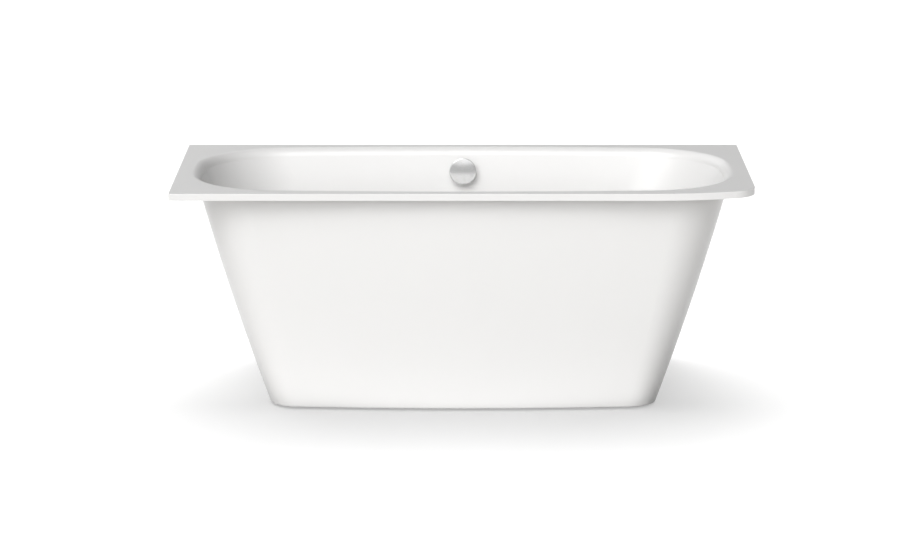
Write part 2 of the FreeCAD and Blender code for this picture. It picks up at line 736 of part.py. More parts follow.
def skirt_fixings():
    """Hangers under the rim and brackets from the foot flange to the rails."""
    hangers = []
    rim_under = "rim_height-sheet_gauge"
    for share in ("-1", "-1/3", "1/3", "1"):
        across = "(hanger_offset*%s)" % share
        bow = "%s^2/(2*skirt_top_bow)" % across
        face = "(skirt_top_setback+skirt_gauge-rim_width/2+%s+2*fit_gap+hanger_drop/16)" % bow
        left = "%s-hanger_breadth/2" % across
        front = "(2.5*sheet_gauge-rim_width/2)"
        step = "(side_margin-rim_width/2-plate_gauge)"
        shelf = box("hanger_breadth", "%s+plate_gauge-%s" % (step, front), "plate_gauge",
                    left, front, rim_under + "-plate_gauge")
        riser = box("hanger_breadth", "plate_gauge", "5*plate_gauge",
                    left, step, rim_under + "-5*plate_gauge")
        bridge = box("hanger_breadth", "%s+plate_gauge-%s" % (face, step), "plate_gauge",
                     left, step, rim_under + "-5*plate_gauge")
        leg = box("hanger_breadth", "plate_gauge", "hanger_drop-4*plate_gauge",
                  left, face, rim_under + "-hanger_drop")
        hangers.append(joined(shelf, riser, bridge, leg))
    keep("skirt_hangers", group(*hangers))

    brackets = []
    fasteners = []
    flange_top = "(skirt_gap+skirt_foot_edge)"
    bolt_y = "(bracket_breadth/2-rail_span/2)"
    bolt_z = "(rail_level+rail_depth/2)"
    for side in (-1, 1):
        plate_x = BRACKET_X if side > 0 else "(-%s-plate_gauge)" % BRACKET_X
        foot_x = "(%s-bracket_breadth)" % BRACKET_X if side > 0 else "-%s" % BRACKET_X
        screw_x = BRACKET_SCREWS[(side + 1) // 2]
        leg = box("plate_gauge", "bracket_breadth", "%s+bracket_breadth/2-%s" % (bolt_z, flange_top),
                  plate_x, "-rail_span/2", flange_top)
        foot_front = "(%s-bracket_breadth/2)" % BRACKET_Y
        foot = box("bracket_breadth", "bracket_breadth-rail_span/2-%s" % foot_front, "plate_gauge",
                   foot_x, foot_front, flange_top)
        bolt_hole = rod("bolt_radius+fit_gap", "6*plate_gauge", "%s-plate_gauge" % plate_x,
                        bolt_y, bolt_z, "x")
        screw_hole = rod("screw_radius+fit_gap", "6*plate_gauge", screw_x, BRACKET_Y, "skirt_gap")
        brackets.append(less(joined(leg, foot), bolt_hole, screw_hole))
        inner_face = plate_x if side > 0 else "-%s" % BRACKET_X
        head_x = "%s-2*plate_gauge" % BRACKET_X if side > 0 else "-%s" % BRACKET_X
        nut_x = ("rail_offset+rail_breadth/2" if side > 0
                 else "-rail_offset-rail_breadth/2-2.5*plate_gauge")
        grip = "(rail_breadth+plate_gauge+3*plate_gauge)"
        shank_x = inner_face if side > 0 else "-%s-%s" % (BRACKET_X, grip)
        fasteners.append(joined(
            hexagon("2*bolt_radius", "2*plate_gauge", head_x, bolt_y, bolt_z, "x"),
            rod("bolt_radius", grip, shank_x, bolt_y, bolt_z, "x")))
        fasteners.append(less(
            hexagon("2*bolt_radius", "2.5*plate_gauge", nut_x, bolt_y, bolt_z, "x"),
            rod("bolt_radius+run_gap", "5*plate_gauge", nut_x + "-plate_gauge", bolt_y, bolt_z, "x")))
        head_z = "(%s+plate_gauge)" % flange_top
        fasteners.append(joined(
            rod("2*screw_radius", "screw_radius", screw_x, BRACKET_Y, head_z),
            rod("screw_radius-run_gap", "plate_gauge+skirt_foot_edge", screw_x, BRACKET_Y, "skirt_gap")))
    keep("skirt_foot_brackets", group(*brackets))
    keep("bracket_fasteners", group(*fasteners))


# Rails, feet, anchors and pads

def base():
    """Foot rails with saddles, and four levelling feet."""
    rise = "floor_fall*(rail_offset-rail_breadth/2-drain_half_length)/(%s-drain_half_length)" % (
        FLOOR_LENGTH)
    saddle_low = "(rail_level+rail_depth)"
    saddles = []
    for word, side in (("left", "-1"), ("right", "1")):
        centre = "(%s*rail_offset)" % side
        tube = less(
            box("rail_breadth", "rail_span", "rail_depth",
                "%s-rail_breadth/2" % centre, "-rail_span/2", "rail_level"),
            box("rail_breadth-2*rail_gauge", "rail_span", "rail_depth-2*rail_gauge",
                "%s-rail_breadth/2+rail_gauge" % centre, "-rail_span/2", "rail_level+rail_gauge"),
            rod("stud_radius+fit_gap", "2*rail_depth", centre, "-foot_offset", "rail_level-rail_gauge"),
            rod("stud_radius+fit_gap", "2*rail_depth", centre, "foot_offset", "rail_level-rail_gauge"),
            rod("bolt_radius+fit_gap", "2*rail_breadth", "%s-rail_breadth" % centre,
                "bracket_breadth/2-rail_span/2", "rail_level+rail_depth/2", "x"))
        keep("foot_rail_" + word, tube)
        for way in ("-1", "1"):
            saddles.append(box(
                "rail_breadth", "saddle_length", "%s+%s-fit_gap-%s" % (UNDER_LOW, rise, saddle_low),
                "%s-rail_breadth/2" % centre, "%s*saddle_offset-saddle_length/2" % way, saddle_low))
        for place_word, way in (("front", "-1"), ("back", "1")):
            spot = (centre, "(%s*foot_offset)" % way)
            foot = "%s_%s" % (place_word, word)
            keep("foot_stud_" + foot, rod("stud_radius", "stud_top-stud_seat", *spot, "stud_seat"))
            pad = turned([
                ("0", "0"), ("pad_radius", "0"), ("pad_radius", "pad_height/5"),
                ("stud_radius*1.6", "pad_height*0.7"), ("stud_radius*1.6", "pad_height"),
                ("stud_radius+run_gap", "pad_height"), ("stud_radius+run_gap", "stud_seat"),
                ("0", "stud_seat")])
            keep("foot_pad_" + foot, place(pad, *spot))
            bore = rod("stud_radius+fit_gap", "stud_top", *spot)
            nuts = [less(hexagon("nut_radius", "nut_height", *spot, level), bore)
                    for level in ("rail_level-nut_height", saddle_low)]
            keep("foot_nuts_" + foot, group(*nuts))
    keep("rail_saddles", group(*saddles))


def wall_side():
    """Wall anchors under the back lip, the earthing tab, and sound pads under the floor."""
    anchors = []
    shelf_top = "(rim_height-lip_height)"
    back = "rim_width/2"
    for side in ("-1", "1"):
        centre = "(%s*anchor_offset)" % side
        left = "%s-anchor_breadth/2" % centre
        shelf = box("anchor_breadth", "anchor_shelf", "anchor_gauge",
                    left, back + "-anchor_shelf", shelf_top + "-anchor_gauge")
        leg = box("anchor_breadth", "anchor_gauge", "anchor_drop",
                  left, back + "-anchor_gauge", shelf_top + "-anchor_drop")
        holes = [rod("anchor_hole", "3*anchor_gauge", "%s+%s*anchor_pitch/2" % (centre, way),
                     back + "-2*anchor_gauge", shelf_top + "-anchor_drop/2", "y")
                 for way in ("-1", "1")]
        anchors.append(less(joined(shelf, leg), *holes))
    keep("wall_anchors", group(*anchors))

    rim_under = "(rim_height-sheet_gauge)"
    tab_y = "(rim_width/2-2*sheet_gauge-bracket_breadth)"
    tab_z = "%s-tab_drop*0.6" % rim_under
    tab = less(
        joined(
            box("bracket_breadth", "bracket_breadth", "plate_gauge",
                "tab_offset", tab_y, rim_under + "-plate_gauge"),
            box("bracket_breadth", "plate_gauge", "tab_drop",
                "tab_offset", tab_y, rim_under + "-tab_drop")),
        rod("bolt_radius+fit_gap", "4*plate_gauge", "tab_offset+bracket_breadth/2",
            tab_y + "-plate_gauge", tab_z, "y"))
    keep("earth_tab", tab)
    spot = "tab_offset+bracket_breadth/2"
    bolt = joined(
        hexagon("2*bolt_radius", "2*plate_gauge", spot, tab_y + "+plate_gauge", tab_z, "y"),
        rod("bolt_radius", "8*plate_gauge", spot, tab_y + "-7*plate_gauge", tab_z, "y"))
    nut = less(
        hexagon("2*bolt_radius", "2.5*plate_gauge", spot, tab_y + "-3.5*plate_gauge", tab_z, "y"),
        rod("bolt_radius+run_gap", "4*plate_gauge", spot, tab_y + "-4*plate_gauge", tab_z, "y"))
    washer = less(
        rod("2.4*bolt_radius", "plate_gauge", spot, tab_y + "-plate_gauge", tab_z, "y"),
        rod("bolt_radius+run_gap", "4*plate_gauge", spot, tab_y + "-2*plate_gauge", tab_z, "y"))
    keep("earth_bolt", group(bolt, nut, washer))

    slope = "floor_fall/(%s-drain_half_length)" % FLOOR_LENGTH
    pads = []
    for side in (-1, 1):
        pad = box("pad_sheet_length", "pad_sheet_width", "pad_sheet")
        inner = "pad_sheet_offset" if side > 0 else "-pad_sheet_offset-pad_sheet_length"
        start = "%s+%s*(pad_sheet_offset%s-drain_half_length)-pad_sheet-fit_gap" % (
            UNDER_LOW, slope, "" if side > 0 else "+pad_sheet_length")
        pads.append(place(pad, inner, "-pad_sheet_width/2", start,
                          Y_AXIS, "%d*atan(%s)" % (-side, slope)))
    keep("floor_sound_pads", group(*pads))


# Overflow set, drawn about Z with the wall's inner face at z = 0

WALL_BACK = "(-sheet_gauge-fit_gap)"
HOUSING_TOP = "(-sheet_gauge-fit_gap-gasket_gauge)"
CORE_Y = "(sheave_groove+fit_gap+core_radius)"


def overflow():
    """Knob on a spindle with a cable sheave, in a housing behind the back wall."""
    keep("overflow_gasket", lean_back(
        ring("housing_flange", "overflow_hole+seal_gauge", HOUSING_TOP, WALL_BACK)))

    rear = "-housing_depth"
    flange_low = "(%s-housing_flange_gauge)" % HOUSING_TOP
    shell = turned([
        ("0", rear), ("housing_radius", rear), ("housing_radius", flange_low),
        ("housing_flange", flange_low), ("housing_flange", HOUSING_TOP), ("0", HOUSING_TOP)])
    spigot = rod("spigot_radius", "spigot_end-housing_radius/2",
                 "0", "-spigot_end", "-spigot_depth", "y")
    gland = rod("2*sheath_radius", "housing_radius/2",
                "housing_radius*0.8", CORE_Y, "-sheave_level", "x")
    outside = joined(shell, spigot, gland)
    cavity_low = "(housing_wall-housing_depth)"
    cavity = rod("housing_radius-housing_wall", "housing_depth", "0", "0", cavity_low)
    spigot_bore = rod("spigot_bore", "spigot_end", "0", "-1.1*spigot_end", "-spigot_depth", "y")
    core_bore = rod("core_radius+1.5*fit_gap", "2*housing_radius", "0", CORE_Y, "-sheave_level", "x")
    sheath_bore = rod("sheath_radius+fit_gap", "housing_radius",
                      "housing_radius*1.1", CORE_Y, "-sheave_level", "x")
    hollow = less(outside, cavity, spigot_bore, core_bore, sheath_bore)
    boss_low = "(%s-sheave_level/2+2*gasket_gauge)" % HOUSING_TOP
    bosses = [rod("housing_radius-housing_wall/2-screw_circle", "%s-%s" % (HOUSING_TOP, boss_low),
                  "%s*screw_circle" % way, "0", boss_low) for way in ("-1", "1")]
    bearing = rod("2*journal_radius", "journal_radius*0.75", "0", "0", cavity_low + "-journal_radius/4")
    screw_holes = [rod("screw_radius*0.8", "sheave_level", "%s*screw_circle" % way, "0",
                       "%s+screw_radius/2" % boss_low) for way in ("-1", "1")]
    journal_bore = rod("journal_radius+run_gap", "housing_depth", "0", "0", rear + "+housing_wall/2")
    keep("overflow_housing", lean_back(
        less(joined(hollow, bearing, *bosses), journal_bore, *screw_holes)))

    plate_top = "(fit_gap+front_gauge)"
    front = turned([
        ("spindle_radius+run_gap", "-front_gauge"), ("spindle_radius*1.5", "-front_gauge"),
        ("spindle_radius*1.5", "fit_gap"), ("front_plate", "fit_gap"),
        ("front_plate", plate_top + "-front_gauge/3"), ("front_plate-front_gauge/2", plate_top),
        ("spindle_radius*1.5", plate_top), ("spindle_radius*1.5", plate_top + "+front_gauge/3"),
        ("spindle_radius+run_gap", plate_top + "+front_gauge/3")])
    water_holes = []
    for quarter in range(4):
        angle = "%d" % (45 + 90 * quarter)
        water_holes.append(rod("water_hole", "4*front_gauge", "water_circle*cos(%s)" % angle,
                               "water_circle*sin(%s)" % angle, "-2*front_gauge"))
    clearance = [rod("screw_radius", "4*front_gauge", "%s*screw_circle" % way, "0", "-2*front_gauge")
                 for way in ("-1", "1")]
    keep("overflow_flange", lean_back(less(front, *water_holes, *clearance)))
    screws = []
    for way in ("-1", "1"):
        shank = "screw_radius*0.8-run_gap"
        x = "%s*screw_circle" % way
        tip = "(%s-sheave_level/4)" % HOUSING_TOP
        screws.append(joined(
            rod("screw_radius*1.6", "screw_radius", x, "0", plate_top),
            rod(shank, "%s-%s" % (plate_top, tip), x, "0", tip)))
    keep("overflow_screws", lean_back(group(*screws)))

    rim = "knob_radius-knob_wall"
    dome_radius = "(knob_radius^2+knob_dome^2)/(2*knob_dome)"
    back_face = "knob_face-knob_dome-knob_wall"
    bore = "spindle_radius+run_gap"
    hub_low = "(knob_standoff-knob_hub_reach)"
    knob = turned([
        (bore, hub_low), ("knob_hub", hub_low), ("knob_hub", back_face), (rim, back_face),
        (rim, "knob_standoff"), ("knob_radius", "knob_standoff"), ("knob_radius", "knob_face-knob_dome"),
        ("0", "knob_face"), ("0", "spindle_tip+run_gap"), (bore, "spindle_tip+run_gap")],
        {6: dome_radius})
    crown = value("knob_face-knob_dome")
    rounded(knob, "knob_edge", level_with(crown))
    back_edge = level_with(value("knob_standoff"))
    rounded(knob, "knob_wall/4", lambda b: back_edge(b) and b.XMax > value("knob_radius") - 0.1)
    grub_z = "(%s+grub_rise)" % hub_low
    keep("overflow_knob", lean_back(less(
        knob, rod("grub_radius", "knob_hub", "0", "-1.1*knob_hub", grub_z, "y"))))
    keep("knob_grub_screw", lean_back(group(rod(
        "grub_radius-run_gap", "knob_hub-spindle_radius-2*run_gap-grub_sink",
        "0", "grub_sink-knob_hub", grub_z, "y"))))

    sheave_low = "(-sheave_level-sheave_height/2)"
    sheave_high = "(-sheave_level+sheave_height/2)"
    keep("knob_spindle", lean_back(turned([
        ("0", rear + "+housing_wall/2+fit_gap"), ("journal_radius", rear + "+housing_wall/2+fit_gap"),
        ("journal_radius", sheave_low), ("spindle_radius", sheave_low),
        ("spindle_radius", "spindle_tip"), ("0", "spindle_tip")])))
    keep("cable_sheave", lean_back(turned([
        ("spindle_radius+run_gap", sheave_low), ("sheave_radius", sheave_low),
        ("sheave_radius", "-sheave_level-groove_height/2"),
        ("sheave_groove", "-sheave_level-groove_height*0.4"),
        ("sheave_groove", "-sheave_level+groove_height*0.4"),
        ("sheave_radius", "-sheave_level+groove_height/2"),
        ("sheave_radius", sheave_high), ("spindle_radius+run_gap", sheave_high)])))


# Waste set about the drain axis

SEAT = "(%s+seal_gauge)" % FLOOR_LOW
BODY_LOW = "(body_top-body_height)"
PIPE_STOP = "(%s+socket_depth)" % BODY_LOW
HUB_LOW = "(%s-neck_length)" % SEAT
STEM_LOW = "(%s-stem_reach)" % HUB_LOW
AXLE_Y = "(-lever_arm*cos(lift_angle/2))"
AXLE_Z = "(%s-fit_gap-stem_radius+lever_arm*sin(lift_angle/2))" % STEM_LOW
CORE_TRAVEL = "(%s*pi*knob_turn/180)" % CORE_Y
CRANK_ARM = "(%s/(2*tan(lift_angle/2)))" % CORE_TRAVEL
CORE_Z = "(%s-%s)" % (AXLE_Z, CRANK_ARM)
CRANK_X = "(body_radius+crank_stand)"
LUG_SEAT = "(lug_setback+lug_gauge/2)"


def plug():
    """Lifting plug with its seal, stem and nut, and the waste flange it closes."""
    crest = "(%s+4*seal_gauge)" % SEAT
    cone_low = "(%s+seal_gauge/2)" % SEAT
    cone_top = "(flange_radius*0.83)"
    shoulder = "flange_radius-2*seal_gauge"
    keep("flange_seal", ring(shoulder, "waste_hole+seal_gauge", FLOOR_LOW, SEAT))
    funnel = turned([
        ("neck_bore", HUB_LOW), ("neck_radius", HUB_LOW), ("neck_radius", SEAT),
        ("flange_radius", SEAT), ("flange_radius", "%s+2*seal_gauge" % SEAT), (shoulder, crest),
        (cone_top, crest), ("neck_bore", cone_low)])
    spokes = [spoke("(neck_bore+neck_radius)/2", "spoke_gauge", "hub_height", "0", HUB_LOW,
                    "%d" % (30 + 120 * third)) for third in range(3)]
    hub = rod("hub_radius", "hub_height", z=HUB_LOW)
    stem_bore = rod("stem_radius+2*run_gap", "3*hub_height", z="%s-hub_height" % HUB_LOW)
    keep("waste_flange", less(joined(funnel, hub, *spokes), stem_bore))

    under = "(%s+fit_gap)" % crest
    shoulder_top = "(%s+plug_gauge-plug_dome)" % under
    boss_low = "(%s-plug_boss_depth)" % under
    thread = "stem_radius+run_gap"
    thread_top = "(%s+plug_gauge/4)" % under
    dome = "(plug_radius^2+plug_dome^2)/(2*plug_dome)"
    cap = turned([
        (thread, boss_low), ("plug_boss", boss_low), ("plug_boss", under), ("plug_radius", under),
        ("plug_radius", shoulder_top), ("0", "%s+plug_gauge" % under), ("0", thread_top),
        (thread, thread_top)], {4: dome})
    rounded(cap, "plug_edge", level_with(value(shoulder_top)))
    keep("plug_cap", cap)
    seal_low = "(%s-plug_seal_drop)" % under
    cone = "(neck_bore+(%s-neck_bore)*(%s-%s)/(%s-%s))" % (cone_top, seal_low, cone_low, crest, cone_low)
    keep("plug_seal", ring("%s-2*fit_gap" % cone, "plug_boss+run_gap",
                           seal_low, "%s+plug_seal_height" % seal_low))
    keep("plug_stem", rod("stem_radius", "%s-run_gap-%s" % (thread_top, STEM_LOW), z=STEM_LOW))
    nut_low = "(%s-stem_nut_height)" % boss_low
    keep("stem_nut", less(hexagon("2*stem_radius", "stem_nut_height", z=nut_low),
                          rod(thread, "2*stem_nut_height", z="%s-stem_nut_height/2" % nut_low)))


def waste_body():
    """Waste body under the floor, with the gasket on its flange."""
    keep("waste_gasket", ring("body_flange", "waste_hole+seal_gauge", "body_top", UNDER_LOW))
    bore = "neck_radius+fit_gap"
    chamber = "body_radius-body_wall"
    socket = "pipe_radius+fit_gap"
    flange_low = "(body_top-body_flange_gauge)"
    neck_low = "(%s-body_neck_height)" % flange_low
    room_low = "(%s+socket_step)" % PIPE_STOP
    room_top = "(%s-body_wall)" % neck_low
    dome_low = "(%s-body_shoulder+body_wall/3)" % room_top
    turned_body = turned([
        (bore, "body_top"), ("body_flange", "body_top"), ("body_flange", flange_low),
        ("body_neck", flange_low), ("body_neck", neck_low),
        ("body_radius", "%s-body_shoulder" % neck_low),
        ("body_radius", "%s+socket_step" % room_low),
        ("tail_radius", "%s-body_shoulder" % PIPE_STOP), ("tail_radius", BODY_LOW),
        (socket, BODY_LOW), (socket, PIPE_STOP), ("pipe_bore", PIPE_STOP), ("pipe_bore", room_low),
        (chamber, "%s+body_shoulder" % room_low), (chamber, dome_low), (bore, room_top)])
    inlet = rod("spigot_radius", "body_radius", "0", "body_radius-2*body_wall", "hose_level", "y")
    inlet_bore = rod("spigot_bore", "2*body_radius", "0", "body_radius/2", "hose_level", "y")
    axle_boss = rod("2*axle_radius", "axle_boss+2*body_wall", "body_radius-2*body_wall",
                    AXLE_Y, AXLE_Z, "x")
    lug_low = "(%s-lug_height/2)" % CORE_Z
    lug = box("cable_side+lug_gauge*0.75-tail_radius", "lug_gauge", "lug_height",
              "tail_radius", "lug_setback", lug_low)
    lug_rib = box("lug_gauge", "lug_gauge", "2*lug_height", "tail_radius+body_wall",
                  "lug_setback", lug_low)
    room = turned([
        ("0", room_low), ("pipe_bore", room_low), (chamber, "%s+body_shoulder" % room_low),
        (chamber, dome_low), (bore, room_top), ("0", room_top)])
    axle_bore = rod("axle_radius+run_gap", "2*body_radius", "0", AXLE_Y, AXLE_Z, "x")
    core_bore = rod("core_radius+1.5*fit_gap", "3*lug_gauge", "cable_side",
                    "lug_setback-lug_gauge", CORE_Z, "y")
    sheath_seat = rod("sheath_radius+fit_gap", "lug_gauge", "cable_side", LUG_SEAT, CORE_Z, "y")
    outside = joined(turned_body, inlet, axle_boss, lug, lug_rib)
    keep("waste_body", less(outside, room, inlet_bore, axle_bore, core_bore, sheath_seat))


def lift():
    """Axle, lever and crank that push the plug's stem when the cable pulls."""
    def swung(thing, x="0"):
        return place(thing, x, AXLE_Y, AXLE_Z, X_AXIS, "-lift_angle/2")

    end_x = "(%s+crank_gauge)" % CRANK_X
    keep("lift_axle", less(
        rod("axle_radius", "%s+axle_tail" % end_x, "-axle_tail", AXLE_Y, AXLE_Z, "x"),
        rod("crank_screw", "2*crank_screw_length", "%s-1.2*crank_screw_length" % end_x,
            AXLE_Y, AXLE_Z, "x")))
    bore = "axle_radius+run_gap"
    lever = less(
        joined(
            rod("2*axle_radius", "lever_hub", "-lever_hub/2", "0", "0", "x"),
            box("lever_breadth", "lever_arm", "lever_gauge", "-lever_breadth/2", "0", "-lever_gauge/2"),
            rod("stem_radius", "1.5*lever_breadth", "-0.75*lever_breadth", "lever_arm", "0", "x")),
        rod(bore, "2*lever_hub", "-lever_hub", "0", "0", "x"))
    keep("lift_lever", swung(lever))
    tail = "(%s+crank_breadth/2)" % CRANK_ARM
    crank = less(
        joined(
            rod("2.2*axle_radius", "crank_gauge", "0", "0", "0", "x"),
            box("crank_gauge", "crank_breadth", tail, "0", "-crank_breadth/2", "-%s" % tail)),
        rod(bore, "4*crank_gauge", "-crank_gauge", "0", "0", "x"),
        box("4*crank_gauge", "2*barrel_radius+2*fit_gap", "crank_breadth+barrel_radius",
            "-crank_gauge", "-barrel_radius-fit_gap", "-%s-crank_breadth/2" % tail))
    keep("lift_crank", swung(crank, CRANK_X))
    keep("crank_screw", joined(
        rod("2*axle_radius", "crank_gauge/2", end_x, AXLE_Y, AXLE_Z, "x"),
        rod("crank_screw-run_gap", "crank_screw_length", "%s-crank_screw_length" % end_x,
            AXLE_Y, AXLE_Z, "x")))


# Pipes, hose and cable along routes of straight runs and tangent arcs

def route(points, radii):
    """Wire through corner points, each inner corner rounded to its radius."""
    edges = []
    last = points[0]
    for i, radius in enumerate(radii, 1):
        before = (points[i - 1] - points[i]).normalize()
        after = (points[i + 1] - points[i]).normalize()
        half_turn = before.getAngle(after) / 2
        inset = radius / math.tan(half_turn)
        start = points[i] + before * inset
        end = points[i] + after * inset
        middle = points[i] + (before + after).normalize() * (radius / math.sin(half_turn) - radius)
        if start.distanceToPoint(last) > 1e-6:
            edges.append(Part.makeLine(last, start))
        edges.append(Part.Arc(start, middle, end).toShape())
        last = end
    edges.append(Part.makeLine(last, points[-1]))
    return Part.Wire(edges)


def swept(path, radius):
    """Solid round bar along a route."""
    start = path.Edges[0]
    heading = start.tangentAt(start.FirstParameter)
    circle = Part.Wire([Part.makeCircle(radius, start.valueAt(start.FirstParameter), heading)])
    bar = path.makePipeShell([circle], True, False)
    wanted = math.pi * radius ** 2 * path.Length
    if abs(bar.Volume - wanted) > 0.02 * wanted:
        raise ValueError("swept bar has the wrong volume")
    return bar


def formed(label, shape):
    """Keep a shape that follows a route."""
    thing = doc.addObject("Part::Feature", label)
    thing.Shape = shape
    return keep(label, thing)


COLLAR_START = "(tail_radius+bend_radius)"
COLLAR_END = "(tail_radius+bend_radius+socket_depth)"
OUTLET_X = "(-2*bend_radius)"


def union_nut():
    """Nut about Z that holds a pipe in a socket whose mouth is at z = 0, with eight grip notches."""
    inner = "tail_radius+fit_gap"
    pipe_gap = "pipe_radius+fit_gap"
    outer = "(tail_radius+union_wall)"
    core = turned([(pipe_gap, "-union_lead"), (outer, "-union_lead"), (outer, "union_skirt"),
                   (inner, "union_skirt"), (inner, "-union_seal"), (pipe_gap, "-union_seal")])
    notches = [spoke("2*union_grip_depth", "union_grip", "2*union_lead", outer + "-union_grip_depth",
                     "-1.1*union_lead", "%d" % (45 * eighth)) for eighth in range(8)]
    return less(core, *notches)


def union_ring():
    """Seal about Z between a socket's mouth and its nut."""
    return ring("tail_radius", "pipe_radius+fit_gap", "-union_seal", "0")


def trap():
    """Water trap, outlet pipe and the nuts and seals of both joints."""
    reach = value("bend_radius")
    far = value(OUTLET_X)
    level = value("outlet_level")
    low = value("bend_top-bend_radius")
    collar_y = value(COLLAR_START)
    path = route([V(0, 0, value(PIPE_STOP + "-run_gap")), V(0, 0, low), V(far, 0, low), V(far, 0, level),
                  V(far, collar_y, level)], [reach, reach, reach])
    lap = value("union_seal")
    depth = value("socket_depth")
    collar = Part.makeCylinder(value("tail_radius"), depth + lap, V(far, collar_y - lap, level), Y_AXIS)
    socket = Part.makeCylinder(value("pipe_radius+fit_gap"), 2 * depth, V(far, collar_y, level), Y_AXIS)
    bend = swept(path, value("pipe_radius")).fuse(collar).cut(socket)
    formed("trap_bend", bend.cut(swept(path, value("pipe_bore"))).removeSplitter())

    keep("trap_nut", place(union_nut(), z=BODY_LOW))
    keep("trap_seal", place(union_ring(), z=BODY_LOW))
    joint = (OUTLET_X, COLLAR_END, "outlet_level", X_AXIS, "90")
    keep("outlet_nut", place(union_nut(), *joint))
    keep("outlet_seal", place(union_ring(), *joint))
    start = COLLAR_START + "+run_gap"
    widen = "(outlet_end-outlet_length)"
    step = "(outlet_radius-pipe_radius)"
    wall = "(pipe_radius-pipe_bore)"
    pipe = turned([
        ("pipe_bore", start), ("pipe_radius", start), ("pipe_radius", widen + "-" + step),
        ("outlet_radius", widen), ("outlet_radius", "outlet_end"),
        ("outlet_radius-" + wall, "outlet_end"), ("outlet_radius-" + wall, widen),
        ("pipe_bore", widen + "-" + step)])
    keep("outlet_pipe", place(pipe, OUTLET_X, "0", "outlet_level", X_AXIS, "-90"))


def behind_wall(x, y, z):
    """Point given in the overflow set's own frame."""
    lean = math.radians(value("90-side_lean"))
    turned_y = y * math.cos(lean) - z * math.sin(lean)
    turned_z = y * math.sin(lean) + z * math.cos(lean)
    return V(x, value(OVERFLOW_Y) + turned_y, value(OVERFLOW_Z) + turned_z)


def hose():
    """Ribbed hose from the overflow housing down to the waste body, with a nut at each end."""
    start = behind_wall(0, value("-housing_flange-hose_gap"), value("-spigot_depth"))
    down = behind_wall(0, value("-2*housing_radius"), value("-spigot_depth")) - start
    down.normalize()
    level = value("hose_level")
    corner = start + down * ((level - start.z) / down.z)
    end = V(0, value("hose_end"), level)
    path = route([start, corner, end], [value("hose_bend")])
    crest = value("hose_radius")
    root = value("hose_root")
    cuff = 2 * crest
    pitch = value("rib_pitch")
    ribs = int((path.Length - 2 * cuff) / pitch)
    pitch = (path.Length - 2 * cuff) / ribs
    stations = [(0, crest), (cuff, crest)]
    for rib in range(ribs):
        base_at = cuff + rib * pitch
        stations += [(base_at + pitch * 0.15, root), (base_at + pitch * 0.4, root),
                     (base_at + pitch * 0.55, crest), (base_at + pitch * 0.999, crest)]
    stations += [(path.Length, crest)]
    lengths = [edge.Length for edge in path.Edges]
    sections = []
    for at, radius in stations:
        index = 0
        while index < len(lengths) - 1 and at > lengths[index]:
            at -= lengths[index]
            index += 1
        edge = path.Edges[index]
        where = edge.getParameterByLength(at)
        heading = edge.tangentAt(where)
        lean = math.degrees(math.atan2(-heading.y, heading.z))
        circle = Part.makeCircle(radius)
        circle.Placement = FreeCAD.Placement(edge.valueAt(where), FreeCAD.Rotation(X_AXIS, lean))
        sections.append(Part.Wire([circle]))
    outside = Part.makeLoft(sections, True, True)
    formed("overflow_hose", outside.cut(swept(path, value("hose_bore"))))

    inner = "hose_radius+fit_gap"
    keep("hose_nut_top", lean_back(less(
        rod("hose_nut_radius", "union_length", "0", "-housing_flange-hose_gap-union_length",
            "-spigot_depth", "y"),
        rod(inner, "2*union_length", "0", "-housing_flange-1.5*union_length", "-spigot_depth", "y"))))
    keep("hose_nut_low", less(
        rod("hose_nut_radius", "union_length", "0", "hose_end", "hose_level", "y"),
        rod(inner, "2*union_length", "0", "hose_end-union_length/2", "hose_level", "y")))


def cable():
    """Cable from the sheave to the lift crank: sheath and the two bare ends of its core."""
    height = value(CORE_Y)
    depth = value("-sheave_level")
    gland = value("housing_radius*1.1")
    side = value("cable_side")
    out = gland + value("cable_reach")
    level = value(CORE_Z)
    seat_y = value(LUG_SEAT)
    over = behind_wall(out, height, depth)
    down = over - behind_wall(out, height + 1, depth)
    low = over + down * ((level - over.z) / down.z)
    ahead = V(side, seat_y + value("cable_straight"), level)
    bend = value("cable_bend")
    path = route([behind_wall(gland, height, depth), over, low, ahead, V(side, seat_y, level)],
                 [bend, 1.5 * bend, 3 * bend])
    sheath = swept(path, value("sheath_radius")).cut(swept(path, value("sheath_bore")))
    formed("cable_sheath", sheath)

    core = value("core_radius")
    tail = value("core_tail")
    upper_length = gland + value(CORE_TRAVEL) + tail
    formed("cable_core_upper",
           Part.makeCylinder(core, upper_length, behind_wall(0, height, depth), X_AXIS))
    barrel_y = value("%s-%s/2" % (AXLE_Y, CORE_TRAVEL))
    barrel_x = value("%s-crank_gauge/4" % CRANK_X)
    barrel = Part.makeCylinder(value("barrel_radius"), value("barrel_length"),
                               V(barrel_x, barrel_y, level), X_AXIS)
    lower = Part.makeCylinder(core, seat_y + tail - barrel_y, V(side, barrel_y, level), Y_AXIS)
    formed("cable_core_lower", barrel.fuse(lower))


tub()
skirt()
skirt_fixings()
base()
wall_side()
overflow()
plug()
waste_body()
lift()
trap()
hose()
cable()
doc.recompute()

faults = [thing.Label for thing in doc.Objects if {"Invalid", "Error"} & set(thing.State)]
faults += [label for label, thing in pieces.items() if thing.Shape.isNull() or not thing.Shape.isValid()]
if faults:
    raise ValueError("faulty pieces: " + ", ".join(faults))
os.makedirs("parts", exist_ok=True)
for label, thing in pieces.items():
    thing.Shape.exportStep("parts/%s.step" % label)
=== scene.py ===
import json
import logging
import math
from dataclasses import dataclass
from enum import Enum
from typing import Any, Sequence, Union

import bmesh
import bpy
from mathutils import Matrix, Vector

